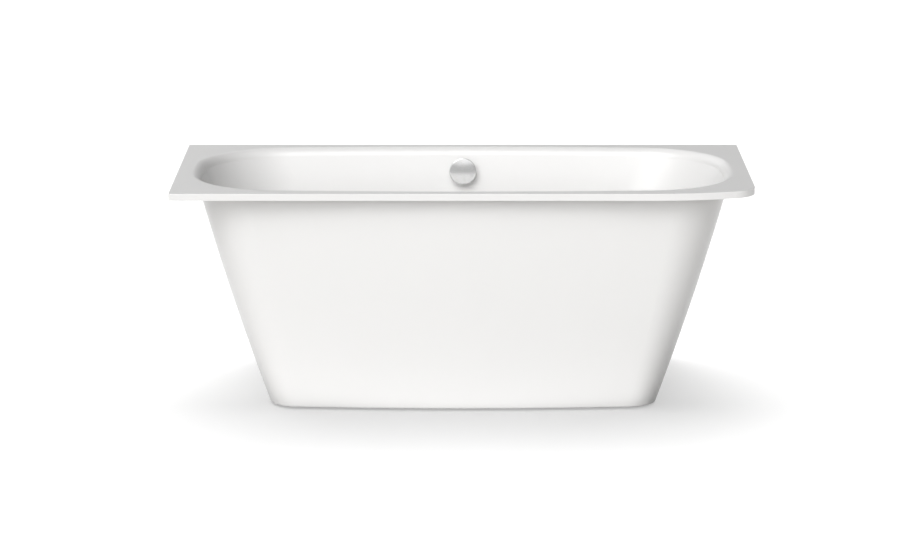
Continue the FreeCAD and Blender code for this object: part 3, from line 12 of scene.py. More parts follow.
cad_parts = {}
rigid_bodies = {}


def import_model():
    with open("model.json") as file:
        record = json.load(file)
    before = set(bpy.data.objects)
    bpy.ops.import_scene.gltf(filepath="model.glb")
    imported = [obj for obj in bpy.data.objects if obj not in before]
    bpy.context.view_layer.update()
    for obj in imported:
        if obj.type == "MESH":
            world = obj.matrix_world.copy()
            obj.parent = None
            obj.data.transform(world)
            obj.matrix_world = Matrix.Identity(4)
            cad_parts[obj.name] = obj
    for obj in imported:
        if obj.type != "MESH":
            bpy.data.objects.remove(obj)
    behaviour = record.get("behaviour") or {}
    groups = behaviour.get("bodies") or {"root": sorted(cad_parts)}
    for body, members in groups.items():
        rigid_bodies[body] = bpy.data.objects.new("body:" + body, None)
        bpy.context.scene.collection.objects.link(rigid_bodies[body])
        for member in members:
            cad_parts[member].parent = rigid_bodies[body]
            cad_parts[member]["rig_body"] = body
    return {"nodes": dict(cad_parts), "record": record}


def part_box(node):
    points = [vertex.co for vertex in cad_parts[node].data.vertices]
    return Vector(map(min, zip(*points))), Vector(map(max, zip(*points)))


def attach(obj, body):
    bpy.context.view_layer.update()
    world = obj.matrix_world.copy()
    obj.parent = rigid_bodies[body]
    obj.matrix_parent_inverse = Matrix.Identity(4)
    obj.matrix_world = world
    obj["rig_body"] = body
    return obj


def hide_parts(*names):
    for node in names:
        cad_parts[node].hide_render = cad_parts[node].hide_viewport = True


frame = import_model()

LOG = logging.getLogger("bath")

Colour = tuple[float, float, float]
Point = tuple[float, float, float]
Span = tuple[float, float]

MM = 0.001
WHITE: Colour = (1.0, 1.0, 1.0)
UP = Vector((0.0, 0.0, 1.0))

FLOOR = "floor"
POLISHED = ".polished"
KNOB = "overflow_knob" + POLISHED

# What the new meshes share, in metres and degrees

SAME_SPOT = 0.002 * MM  # a node's corners that are closer are one
SEAM = 0.005 * MM  # a turned shape's corners that are closer are one
LEVEL = 0.01 * MM  # an edge whose ends differ by less lies across
FLAT_BELOW = 0.5  # faces that turn by less are one flat face
SMOOTH_BELOW = 30.0  # edges that turn by less are shaded smooth
EASED_ABOVE = 35.0  # edges that turn by more are eased
EASE_STEPS = 2  # steps of an eased edge
ROUND_EASE = 0.5  # profile of a round one

# Sockets of the Mix node when it mixes colours

MIX_SHARE, MIX_LOW, MIX_HIGH = 0, 6, 7
MIX_COLOUR = 2


class Slot(Enum):
    """Finishes of the bath, by the names of the record's material slots."""

    ENAMEL = "enamel"
    CHROME = "chrome_plate"
    ZINC = "zinc_steel"
    BRASS = "brass_turned"
    BLACK_PLASTIC = "black_plastic"
    WHITE_PLASTIC = "white_plastic"
    RUBBER = "rubber_black"
    FELT = "damping_felt"


class Corner(Enum):
    """Places of the levelling feet."""

    FRONT_LEFT = "front_left"
    FRONT_RIGHT = "front_right"
    BACK_LEFT = "back_left"
    BACK_RIGHT = "back_right"


class Ray(Enum):
    """Ways in which a surface is reached: seen, lighting another one, mirrored or looked through."""

    CAMERA = "Is Camera Ray"
    DIFFUSE = "Is Diffuse Ray"
    GLOSSY = "Is Glossy Ray"
    TRANSMISSION = "Is Transmission Ray"


class Reach(Enum):
    """What a lamp does to the pieces that it names."""

    LIGHTS = "INCLUDE"
    SPARES = "EXCLUDE"


# Materials


class Shade:
    """A number that changes over a surface, with maths written as Python expressions."""

    def __init__(self, nodes: "Nodes", socket: bpy.types.NodeSocket) -> None:
        """Wrap one output socket of a node tree."""
        self.nodes = nodes
        self.socket = socket

    def _math(self, operation: str, first: Any, second: Any) -> "Shade":
        """Add one Math node.

        Args:
            operation: the node's operation.
            first: its first value or shade.
            second: its second value or shade.

        Returns:
            The node's result.
        """
        return self.nodes.node("ShaderNodeMath", {"operation": operation}, {0: first, 1: second})

    def __add__(self, other: Any) -> "Shade":
        """Sum."""
        return self._math("ADD", self, other)

    def __radd__(self, other: Any) -> "Shade":
        """Sum with a plain number first."""
        return self._math("ADD", other, self)

    def __mul__(self, other: Any) -> "Shade":
        """Product."""
        return self._math("MULTIPLY", self, other)

    def __rmul__(self, other: Any) -> "Shade":
        """Product with a plain number first."""
        return self._math("MULTIPLY", other, self)


Setting = Union[float, Colour, Shade]


class Nodes:
    """A node tree that is filled node by node."""

    def __init__(self, tree: bpy.types.NodeTree, output: str) -> None:
        """Empty the tree and give it an output node.

        Args:
            tree: the node tree.
            output: the output node's type.
        """
        self.tree = tree
        self.tree.nodes.clear()
        self.output = self.tree.nodes.new(output)

    def node(self, kind: str, settings: dict[str, Any], inputs: dict[Any, Any],
             output: Union[int, str] = 0) -> Shade:
        """Add a node.

        Args:
            kind: the node's type.
            settings: properties that are set first.
            inputs: values or shades by the socket's name or number.
            output: which output to return.

        Returns:
            The chosen output.
        """
        made = self.tree.nodes.new(kind)
        for key, value in settings.items():
            setattr(made, key, value)
        for key, value in inputs.items():
            self.feed(made.inputs[key], value)
        return Shade(self, made.outputs[output])

    def feed(self, socket: bpy.types.NodeSocket, value: Any) -> None:
        """Set a socket to a value, or link a shade to it.

        Args:
            socket: the input socket.
            value: a number, a colour, a vector or a shade.
        """
        if isinstance(value, Shade):
            self.tree.links.new(value.socket, socket)
        elif socket.type == "RGBA":
            socket.default_value = (*value, 1.0)
        else:
            socket.default_value = value

    def ray(self, way: Ray) -> Shade:
        """1 where the surface is reached in this way, and 0 elsewhere."""
        return self.node("ShaderNodeLightPath", {}, {}, way.value)

    def seen(self) -> Shade:
        """1 for what the camera, gloss and glass see, and 0 for what lights a surface."""
        return self.ray(Ray.CAMERA) + self.ray(Ray.GLOSSY) + self.ray(Ray.TRANSMISSION)

    def mixed(self, share: Shade, first: Shade, second: Shade) -> Shade:
        """Mix two shaders by a shade from 0 to 1."""
        return self.node("ShaderNodeMixShader", {}, {0: share, 1: first, 2: second})


@dataclass(frozen=True)
class Relief:
    """Fine relief of a finish: its depth in metres and how far it shows."""

    depth: float
    strength: float


class Paint(Nodes):
    """One node material, built around a single Principled shader."""

    def __init__(self, name: str) -> None:
        """Start a material that has only its shader.

        Args:
            name: the material's name.
        """
        self.material = bpy.data.materials.new(name)
        self.material.use_nodes = True
        super().__init__(self.material.node_tree, "ShaderNodeOutputMaterial")
        self.shader = self.tree.nodes.new("ShaderNodeBsdfPrincipled")
        self.tree.links.new(self.shader.outputs["BSDF"], self.output.inputs["Surface"])

    def set(self, **inputs: Setting) -> None:
        """Feed the shader's own sockets; Base_Color stands for Base Color."""
        for key, value in inputs.items():
            self.feed(self.shader.inputs[key.replace("_", " ")], value)

    def place(self) -> Shade:
        """Coordinates in the bath's own frame."""
        return self.node("ShaderNodeTexCoord", {}, {}, "Object")

    def stretched(self, scale: Point) -> Shade:
        """Coordinates stretched along the axes."""
        return self.node("ShaderNodeMapping", {}, {"Vector": self.place(), "Scale": scale})

    def noise(self, scale: float, detail: float, where: Shade) -> Shade:
        """Soft noise from 0 to 1, at so many cells to a unit of the coordinates."""
        inputs = {"Vector": where, "Scale": scale, "Detail": detail}
        return self.node("ShaderNodeTexNoise", {}, inputs)

    def cells(self, scale: float) -> Shade:
        """Distance to the middle of irregular cells, at so many a metre."""
        return self.node("ShaderNodeTexVoronoi", {}, {"Vector": self.place(), "Scale": scale}, "Distance")

    def blend(self, low: Colour, high: Colour, share: Shade) -> Shade:
        """Mix two colours by a shade from 0 to 1."""
        inputs = {MIX_SHARE: share, MIX_LOW: low, MIX_HIGH: high}
        return self.node("ShaderNodeMix", {"data_type": "RGBA", "clamp_factor": True}, inputs, MIX_COLOUR)

    def ramp(self, share: Shade, limits: Span) -> Shade:
        """Rise from 0 to 1 between two values."""
        inputs = {"Value": share, "From Min": limits[0], "From Max": limits[1]}
        return self.node("ShaderNodeMapRange", {"clamp": True}, inputs)

    def bump(self, height: Shade, relief: Relief) -> Shade:
        """Surface normal of a fine relief."""
        inputs = {"Height": height, "Distance": relief.depth, "Strength": relief.strength}
        return self.node("ShaderNodeBump", {}, inputs, "Normal")


@dataclass(frozen=True)
class Texture:
    """Noise over a finish, at so many cells a metre, alike or different along the axes."""

    cells: Union[float, Point]
    detail: float
    limits: Union[Span, None] = None

    def over(self, paint: Paint) -> Shade:
        """Lay the noise over a material.

        Args:
            paint: the material.

        Returns:
            The noise, or its rise from 0 to 1 between the limits where there are some.
        """
        if isinstance(self.cells, tuple):
            noise = paint.noise(1.0, self.detail, paint.stretched(self.cells))
        else:
            noise = paint.noise(self.cells, self.detail, paint.place())
        return paint.ramp(noise, self.limits) if self.limits else noise


@dataclass(frozen=True)
class Enamel:
    """White vitreous enamel: even glaze, faint orange peel, soft gloss."""

    body: Colour = (0.835, 0.830, 0.822)
    thin: Colour = (0.815, 0.811, 0.805)
    pools: Texture = Texture(2.6, 2.0, (0.25, 0.75))
    pool_share: float = 0.55
    specks: Texture = Texture(1900.0, 0.0, (0.74, 0.80))
    speck_share: float = 0.45
    peel: Texture = Texture(240.0, 1.5)
    relief: Relief = Relief(0.06 * MM, 0.5)
    roughness: float = 0.30
    peel_roughness: float = 0.05
    pool_roughness: float = 0.04
    refraction: float = 1.52
    coat: float = 0.35
    coat_roughness: float = 0.12

    def paint(self) -> bpy.types.Material:
        """Build the material.

        Returns:
            The enamel.
        """
        paint = Paint("white_enamel")
        pools, specks, peel = self.pools.over(paint), self.specks.over(paint), self.peel.over(paint)
        thinned = self.pool_share * pools + self.speck_share * specks
        paint.set(Base_Color=paint.blend(self.body, self.thin, thinned),
                  Roughness=self.roughness + self.peel_roughness * peel + self.pool_roughness * pools,
                  IOR=self.refraction, Coat_Weight=self.coat, Coat_Roughness=self.coat_roughness,
                  Normal=paint.bump(peel, self.relief))
        return paint.material


@dataclass(frozen=True)
class PlatedChrome:
    """Satin chrome on turned brass, with faint turning marks and water haze."""

    metal: Colour = (0.82, 0.82, 0.82)
    hazed: Colour = (0.75, 0.75, 0.75)
    haze: Texture = Texture(60.0, 4.0, (0.45, 0.85))
    lines: Texture = Texture((900.0, 60.0, 900.0), 2.0)
    relief: Relief = Relief(0.02 * MM, 0.25)
    roughness: float = 0.15
    haze_roughness: float = 0.08
    line_roughness: float = 0.04

    def paint(self) -> bpy.types.Material:
        """Build the material.

        Returns:
            The chrome.
        """
        paint = Paint("satin_chrome")
        haze, lines = self.haze.over(paint), self.lines.over(paint)
        paint.set(Base_Color=paint.blend(self.metal, self.hazed, haze), Metallic=1.0,
                  Roughness=self.roughness + self.haze_roughness * haze + self.line_roughness * lines,
                  Normal=paint.bump(lines, self.relief))
        return paint.material


@dataclass(frozen=True)
class ZincedSteel:
    """Zinc-plated sheet and bar, with spangle and dull patches."""

    bright: Colour = (0.60, 0.61, 0.63)
    dull: Colour = (0.42, 0.43, 0.44)
    spangle_cells: float = 140.0
    spangle_share: float = 0.5
    patches: Texture = Texture(28.0, 5.0, (0.35, 0.75))
    patch_share: float = 0.5
    grain: Texture = Texture((1500.0, 90.0, 1500.0), 3.0)
    relief: Relief = Relief(0.03 * MM, 0.4)
    roughness: float = 0.34
    patch_roughness: float = 0.16
    grain_roughness: float = 0.06

    def paint(self) -> bpy.types.Material:
        """Build the material.

        Returns:
            The zinc plate.
        """
        paint = Paint("zinc_plate")
        patches, grain = self.patches.over(paint), self.grain.over(paint)
        dulled = self.patch_share * patches + self.spangle_share * paint.cells(self.spangle_cells)
        paint.set(Base_Color=paint.blend(self.bright, self.dull, dulled), Metallic=1.0,
                  Roughness=self.roughness + self.patch_roughness * patches + self.grain_roughness * grain,
                  Normal=paint.bump(grain, self.relief))
        return paint.material


@dataclass(frozen=True)
class TurnedBrass:
    """Bare brass with turning marks and slight tarnish."""

    bright: Colour = (0.74, 0.57, 0.27)
    tarnished: Colour = (0.45, 0.33, 0.15)
    stain: Texture = Texture(90.0, 4.0, (0.45, 0.80))
    rings: Texture = Texture((80.0, 80.0, 2200.0), 1.0)
    relief: Relief = Relief(0.04 * MM, 0.4)
    roughness: float = 0.26
    stain_roughness: float = 0.15
    ring_roughness: float = 0.05

    def paint(self) -> bpy.types.Material:
        """Build the material.

        Returns:
            The brass.
        """
        paint = Paint("turned_brass")
        stain, rings = self.stain.over(paint), self.rings.over(paint)
        paint.set(Base_Color=paint.blend(self.bright, self.tarnished, stain), Metallic=1.0,
                  Roughness=self.roughness + self.stain_roughness * stain + self.ring_roughness * rings,
                  Normal=paint.bump(rings, self.relief))
        return paint.material


@dataclass(frozen=True)
class MouldedPlastic:
    """Injection-moulded plastic with a fine spark-eroded face, flow marks and scuffs."""

    name: str
    body: Colour
    scuffed: Colour
    roughness: float
    scuffs: Texture = Texture(240.0, 5.0, (0.60, 0.78))
    scuff_share: float = 0.6
    scuff_height: float = 0.5
    flow: Texture = Texture(18.0, 3.0)
    flow_share: float = 0.25
    grain: Texture = Texture(1600.0, 2.0)
    relief: Relief = Relief(0.05 * MM, 0.5)
    flow_roughness: float = 0.12
    scuff_roughness: float = 0.08
    refraction: float = 1.49

    def paint(self) -> bpy.types.Material:
        """Build the material.

        Returns:
            The plastic.
        """
        paint = Paint(self.name)
        scuffs, flow, grain = self.scuffs.over(paint), self.flow.over(paint), self.grain.over(paint)
        worn = self.scuff_share * scuffs + self.flow_share * flow
        paint.set(Base_Color=paint.blend(self.body, self.scuffed, worn),
                  Roughness=self.roughness + self.flow_roughness * flow + self.scuff_roughness * scuffs,
                  IOR=self.refraction,
                  Normal=paint.bump(grain + self.scuff_height * scuffs, self.relief))
        return paint.material


@dataclass(frozen=True)
class Elastomer:
    """Black rubber with a dusty bloom."""

    body: Colour = (0.022, 0.022, 0.023)
    dusty: Colour = (0.075, 0.073, 0.070)
    bloom: Texture = Texture(70.0, 5.0, (0.45, 0.80))
    pores: Texture = Texture(900.0, 2.0)
    relief: Relief = Relief(0.1 * MM, 0.5)
    roughness: float = 0.68
    bloom_roughness: float = 0.18

    def paint(self) -> bpy.types.Material:
        """Build the material.

        Returns:
            The rubber.
        """
        paint = Paint("black_rubber")
        bloom, pores = self.bloom.over(paint), self.pores.over(paint)
        paint.set(Base_Color=paint.blend(self.body, self.dusty, bloom),
                  Roughness=self.roughness + self.bloom_roughness * bloom,
                  Normal=paint.bump(pores, self.relief))
        return paint.material


@dataclass(frozen=True)
class DampingSheet:
    """Bitumen sheet with a fibrous face."""

    body: Colour = (0.035, 0.034, 0.033)
    fibre: Colour = (0.12, 0.115, 0.11)
    along: Texture = Texture((260.0, 2400.0, 260.0), 4.0)
    across: Texture = Texture((2400.0, 260.0, 260.0), 4.0)
    fibre_limits: Span = (0.18, 0.42)
    relief: Relief = Relief(0.4 * MM, 0.8)
    roughness: float = 0.85

    def paint(self) -> bpy.types.Material:
        """Build the material.

        Returns:
            The sheet.
        """
        paint = Paint("damping_felt")
        fibres = paint.ramp(self.along.over(paint) * self.across.over(paint), self.fibre_limits)
        paint.set(Base_Color=paint.blend(self.body, self.fibre, fibres), Roughness=self.roughness,
                  Normal=paint.bump(fibres, self.relief))
        return paint.material


class Finishes:
    """Every finish of the bath, built once."""

    def __init__(self) -> None:
        """Build the materials and read which slot each node has."""
        black = MouldedPlastic("black_moulding", body=(0.028, 0.028, 0.030), scuffed=(0.085, 0.085, 0.088),
                               roughness=0.46)
        white = MouldedPlastic("white_moulding", body=(0.72, 0.72, 0.70), scuffed=(0.60, 0.59, 0.56),
                               roughness=0.38)
        self.materials: dict[Slot, bpy.types.Material] = {
            Slot.ENAMEL: Enamel().paint(),
            Slot.CHROME: PlatedChrome().paint(),
            Slot.ZINC: ZincedSteel().paint(),
            Slot.BRASS: TurnedBrass().paint(),
            Slot.BLACK_PLASTIC: black.paint(),
            Slot.WHITE_PLASTIC: white.paint(),
            Slot.RUBBER: Elastomer().paint(),
            Slot.FELT: DampingSheet().paint(),
        }
        self.slot_of = {part["node"]: Slot(part["material_slot"])
                        for part in frame["record"]["subparts"]}

    def dress(self, node: str) -> None:
        """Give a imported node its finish.

        Args:
            node: the node's name.
        """
        thing = frame["nodes"][node]
        thing.data.materials.clear()
        thing.data.materials.append(self.materials[self.slot_of[node]])
        LOG.info("dressed %s", node)

    def stand_in(self, piece: bpy.types.Object, node: str) -> None:
        """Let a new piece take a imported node's finish, movement and place.

        Args:
            piece: the new piece.
            node: the node that it stands in for.
        """
        slot = self.slot_of[node]
        piece.data.materials.append(self.materials[slot])
        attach(piece, frame["nodes"][node]["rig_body"])
        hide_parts(node)
        LOG.info("stood %s in for %s", piece.name, node)


# Meshes


def new_piece(name: str, shape: bmesh.types.BMesh, smooth_below: float = SMOOTH_BELOW) -> bpy.types.Object:
    """Turn a bmesh into an object at the origin.

    Args:
        name: the object's name.
        shape: the bmesh, which is freed.
        smooth_below: edges that turn by fewer degrees are shaded smooth.

    Returns:
        The new object.
    """
    mesh = bpy.data.meshes.new(name)
    shape.to_mesh(mesh)
    shape.free()
    mesh.shade_smooth()
    mesh.set_sharp_from_angle(angle=math.radians(smooth_below))
    piece = bpy.data.objects.new(name, mesh)
    bpy.context.scene.collection.objects.link(piece)
    return piece


def merged_copy(node: str) -> bmesh.types.BMesh:
    """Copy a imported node's mesh, without its fixed normals and empty triangles.

    Args:
        node: the node's name.

    Returns:
        The copy, with its loose triangles joined.
    """
    mesh = frame["nodes"][node].data.copy()
    if "custom_normal" in mesh.attributes:
        mesh.attributes.remove(mesh.attributes["custom_normal"])
    shape = bmesh.new()
    shape.from_mesh(mesh)
    bpy.data.meshes.remove(mesh)
    bmesh.ops.remove_doubles(shape, verts=shape.verts, dist=SAME_SPOT)
    bmesh.ops.dissolve_degenerate(shape, edges=shape.edges, dist=SAME_SPOT)
    return shape


def eased_copy(node: str, ease: float) -> bpy.types.Object:
    """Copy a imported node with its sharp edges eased.

    Args:
        node: the node's name.
        ease: width of the eased edges in metres.

    Returns:
        The copy, with a live Bevel modifier.
    """
    shape = merged_copy(node)
    bmesh.ops.dissolve_limit(shape, angle_limit=math.radians(FLAT_BELOW), verts=shape.verts,
                             edges=shape.edges)
    piece = new_piece(node + ".eased", shape)
    bevel = piece.modifiers.new("ease", "BEVEL")
    bevel.width = ease
    bevel.segments = EASE_STEPS
    bevel.limit_method = "ANGLE"
    bevel.angle_limit = math.radians(EASED_ABOVE)
    bevel.use_clamp_overlap = True
    return piece


def polished_copy(node: str) -> bpy.types.Object:
    """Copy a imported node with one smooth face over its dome."""
    return new_piece(node + POLISHED, merged_copy(node))


def lathe(profile: Sequence[Span], centre: Point, facets: int) -> bmesh.types.BMesh:
    """Closed turned shape about a vertical axis.

    Args:
        profile: (radius, height) points from the bottom on the axis to the top on the axis.
        centre: a point on the axis, from which the heights count.
        facets: how many facets go round.

    Returns:
        The shape.
    """
    shape = bmesh.new()
    verts = [shape.verts.new((centre[0] + radius, centre[1], centre[2] + height))
             for radius, height in profile]
    edges = [shape.edges.new(pair) for pair in zip(verts, verts[1:])]
    bmesh.ops.spin(shape, geom=verts + edges, cent=centre, axis=UP, angle=math.tau,
                   steps=facets, use_merge=True)
    bmesh.ops.remove_doubles(shape, verts=shape.verts, dist=SEAM)
    bmesh.ops.recalc_face_normals(shape, faces=shape.faces)
    return shape


def first_ring(shape: bmesh.types.BMesh, spot: Vector, heading: Vector, radius: float,
               facets: int) -> tuple[list[bmesh.types.BMVert], list[bmesh.types.BMEdge]]:
    """Start a tube with a ring across its line.

    Args:
        shape: the shape that gets the ring.
        spot: the ring's middle.
        heading: the line's direction there.
        radius: the ring's radius.
        facets: how many edges it has.

    Returns:
        The ring's corners and edges.
    """
    turn = UP.rotation_difference(heading).to_matrix().to_4x4()
    verts = bmesh.ops.create_circle(shape, cap_ends=False, segments=facets, radius=radius,
                                    matrix=Matrix.Translation(spot) @ turn)["verts"]
    return verts, list(dict.fromkeys(edge for vert in verts for edge in vert.link_edges))


def next_ring(shape: bmesh.types.BMesh, ring: Sequence[bmesh.types.BMEdge],
              move: Matrix) -> list[bmesh.types.BMEdge]:
    """Extrude a tube by one ring.

    Args:
        shape: the tube's shape.
        ring: the edges of its last ring.
        move: where the new ring goes from there.

    Returns:
        The new ring's edges.
    """
    grown = bmesh.ops.extrude_edge_only(shape, edges=ring)["geom"]
    verts = [item for item in grown if isinstance(item, bmesh.types.BMVert)]
    edges = [item for item in grown if isinstance(item, bmesh.types.BMEdge)
             and all(vert in verts for vert in item.verts)]
    bmesh.ops.transform(shape, matrix=move, verts=verts)
    return edges


class Route:
    """Smooth line of a held hose or cable that follows its route's points."""

    steps_between: int = 48
    order: int = 3

    def __init__(self, points: Sequence[Point]) -> None:
        """Read the line's points from a spline that the route's points control.

        Args:
            points: the route's points.
        """
        curve = bpy.data.curves.new("route", "CURVE")
        curve.dimensions = "3D"
        curve.resolution_u = self.steps_between
        spline = curve.splines.new("NURBS")
        spline.points.add(len(points) - 1)
        for control, spot in zip(spline.points, points):
            control.co = (*spot, 1.0)
        spline.order_u = self.order
        spline.use_endpoint_u = True
        holder = bpy.data.objects.new("route", curve)
        mesh = bpy.data.meshes.new_from_object(holder)
        self.spots = [vertex.co.copy() for vertex in mesh.vertices]
        bpy.data.objects.remove(holder)
        bpy.data.curves.remove(curve)
        bpy.data.meshes.remove(mesh)
        self.marks = [0.0]
        for before, after in zip(self.spots, self.spots[1:]):
            self.marks.append(self.marks[-1] + (after - before).length)

    @property
    def length(self) -> float:
        """Length of the line in metres."""
        return self.marks[-1]

    def at(self, distance: float) -> tuple[Vector, Vector]:
        """Find a place along the line.

        Args:
            distance: metres from the start.

        Returns:
            The point and the direction there.
        """
        index = 1
        while index < len(self.marks) - 1 and self.marks[index] < distance:
            index += 1
        before, after = self.spots[index - 1], self.spots[index]
        share = (distance - self.marks[index - 1]) / (self.marks[index] - self.marks[index - 1])
        ahead = self.spots[min(index + 1, len(self.spots) - 1)]
        behind = self.spots[max(index - 2, 0)]
        return before.lerp(after, share), (ahead - behind).normalized()

    def tube(self, stations: Sequence[Span], bore: float, facets: int,
             bore_steps: int) -> bmesh.types.BMesh:
        """Round tube along the line, with a plain bore from end to end.

        Args:
            stations: (distance, radius) pairs of the outside, in order.
            bore: radius of the bore.
            facets: how many facets go round.
            bore_steps: how many steps divide the bore.

        Returns:
            The tube, closed by a ring at each end.
        """
        shape = bmesh.new()
        start, last_radius = stations[0]
        spot, heading = self.at(start)
        _, first = first_ring(shape, spot, heading, last_radius, facets)
        ring = first
        back = [(self.length * step / bore_steps, bore) for step in range(bore_steps, -1, -1)]
        for distance, radius in [*stations[1:], *back]:
            new_spot, new_heading = self.at(distance)
            swing = heading.rotation_difference(new_heading).to_matrix().to_4x4()
            move = (Matrix.Translation(new_spot) @ swing @ Matrix.Scale(radius / last_radius, 4)
                    @ Matrix.Translation(-spot))
            ring = next_ring(shape, ring, move)
            spot, heading, last_radius = new_spot, new_heading, radius
        bmesh.ops.bridge_loops(shape, edges=first + ring)
        bmesh.ops.recalc_face_normals(shape, faces=shape.faces)
        return shape


# Sub-assemblies


@dataclass
class TubAndSkirt:
    """The enamelled tub and skirt with what holds them together."""

    dressed: tuple[str, ...] = ("bath_shell", "skirt_panel", "bracket_fasteners", "floor_sound_pads")
    plates: tuple[str, ...] = ("skirt_hangers", "skirt_foot_brackets")
    plate_ease: float = 0.4 * MM

    def build(self, finishes: Finishes) -> None:
        """Dress the tub and the skirt, and ease the plates between them.

        Args:
            finishes: the bath's finishes.
        """
        for node in self.dressed:
            finishes.dress(node)
        for node in self.plates:
            finishes.stand_in(eased_copy(node, self.plate_ease), node)


@dataclass
class FootBase:
    """Foot rails and the four levelling feet; the thread's crest and root are at shares of its pitch."""

    rails: tuple[str, ...] = ("foot_rail_left", "foot_rail_right")
    rail_ease: float = 1.2 * MM
    saddle_ease: float = 1.0 * MM
    nut_ease: float = 0.6 * MM
    pitch: float = 1.75 * MM
    thread_depth: float = 0.9 * MM
    crest_start: float = 0.40
    crest_end: float = 0.52
    root_start: float = 0.92
    plain_end: float = 2.0 * MM
    facets: int = 28

    def stud(self, node: str) -> bpy.types.Object:
        """Build a stud with a ring for each turn of its thread.

        Args:
            node: the plain rod's name.

        Returns:
            The stud.
        """
        low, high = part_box(node)
        centre = (low + high) / 2
        length = high.z - low.z
        crest = (high.x - low.x) / 2
        root = crest - self.thread_depth
        turn = ((root, 0.0), (crest, self.crest_start), (crest, self.crest_end), (root, self.root_start))
        profile = [(0.0, 0.0), (root, 0.0)]
        height = self.plain_end
        while height + self.pitch < length - self.plain_end:
            profile += [(radius, height + share * self.pitch) for radius, share in turn]
            height += self.pitch
        profile += [(root, length), (0.0, length)]
        return new_piece(node + ".threaded", lathe(profile, (centre.x, centre.y, low.z), self.facets))

    def build(self, finishes: Finishes) -> None:
        """Build the threads, ease the rails, saddles and nuts, and dress the pads.

        Args:
            finishes: the bath's finishes.
        """
        for corner in Corner:
            stud, nuts = "foot_stud_" + corner.value, "foot_nuts_" + corner.value
            finishes.stand_in(self.stud(stud), stud)
            finishes.dress("foot_pad_" + corner.value)
            finishes.stand_in(eased_copy(nuts, self.nut_ease), nuts)
        for node in self.rails:
            finishes.stand_in(eased_copy(node, self.rail_ease), node)
        finishes.stand_in(eased_copy("rail_saddles", self.saddle_ease), "rail_saddles")


@dataclass
class WallSide:
    """Wall anchors and the earthing tab under the back rim."""

    plates: tuple[str, ...] = ("wall_anchors", "earth_tab")
    plate_ease: float = 0.5 * MM

    def build(self, finishes: Finishes) -> None:
        """Ease the plates and dress the bolt.

        Args:
            finishes: the bath's finishes.
        """
        for node in self.plates:
            finishes.stand_in(eased_copy(node, self.plate_ease), node)
        finishes.dress("earth_bolt")


@dataclass
class OverflowSet:
    """Knob, flange and housing of the overflow, with its ribbed hose."""

    dressed: tuple[str, ...] = (
        "overflow_gasket", "overflow_housing", "overflow_flange", "overflow_screws",
        "knob_grub_screw", "knob_spindle", "cable_sheave", "hose_nut_top", "hose_nut_low")
    hose_points: tuple[Point, ...] = (
        (0.0, 0.309349, 0.486045), (0.0, 0.276840, 0.280784), (0.0, 0.252799, 0.129),
        (0.0, 0.099062, 0.129), (0.0, 0.040, 0.129))
    crest: float = 16.0 * MM
    root: float = 14.4 * MM
    bore: float = 12.8 * MM
    cuff: float = 32.0 * MM
    rib_pitch: float = 6.0 * MM
    rib_fullness: float = 0.7
    rings_in_rib: int = 8
    bore_steps: int = 60
    facets: int = 40
    hose_smooth_below: float = 60.0

    def hose(self) -> bpy.types.Object:
        """Build the hose with round bellows ribs between two plain cuffs.

        Returns:
            The hose.
        """
        route = Route(self.hose_points)
        ribbed = route.length - 2 * self.cuff
        rings = round(ribbed / self.rib_pitch) * self.rings_in_rib
        mean, swing = (self.crest + self.root) / 2, (self.crest - self.root) / 2
        stations = [(0.0, self.crest), (self.cuff / 2, self.crest)]
        for ring in range(rings + 1):
            wave = math.cos(math.tau * ring / self.rings_in_rib)
            rounded = math.copysign(abs(wave) ** self.rib_fullness, wave)
            stations.append((self.cuff + ribbed * ring / rings, mean + swing * rounded))
        stations += [(route.length - self.cuff / 2, self.crest), (route.length, self.crest)]
        shape = route.tube(stations, self.bore, self.facets, self.bore_steps)
        return new_piece("overflow_hose.ribbed", shape, self.hose_smooth_below)

    def build(self, finishes: Finishes) -> None:
        """Build the hose, polish the knob and dress the rest.

        Args:
            finishes: the bath's finishes.
        """
        finishes.stand_in(self.hose(), "overflow_hose")
        finishes.stand_in(polished_copy("overflow_knob"), "overflow_knob")
        for node in self.dressed:
            finishes.dress(node)


@dataclass
class WasteSet:
    """Plug, waste body, lift and trap under the drain."""

    dressed: tuple[str, ...] = (
        "flange_seal", "waste_flange", "plug_seal", "plug_stem", "stem_nut", "waste_gasket",
        "waste_body", "lift_axle", "lift_lever", "lift_crank", "crank_screw", "trap_bend", "trap_nut",
        "trap_seal", "outlet_nut", "outlet_seal", "outlet_pipe")

    def build(self, finishes: Finishes) -> None:
        """Polish the plug's cap and dress the rest.

        Args:
            finishes: the bath's finishes.
        """
        finishes.stand_in(polished_copy("plug_cap"), "plug_cap")
        for node in self.dressed:
            finishes.dress(node)


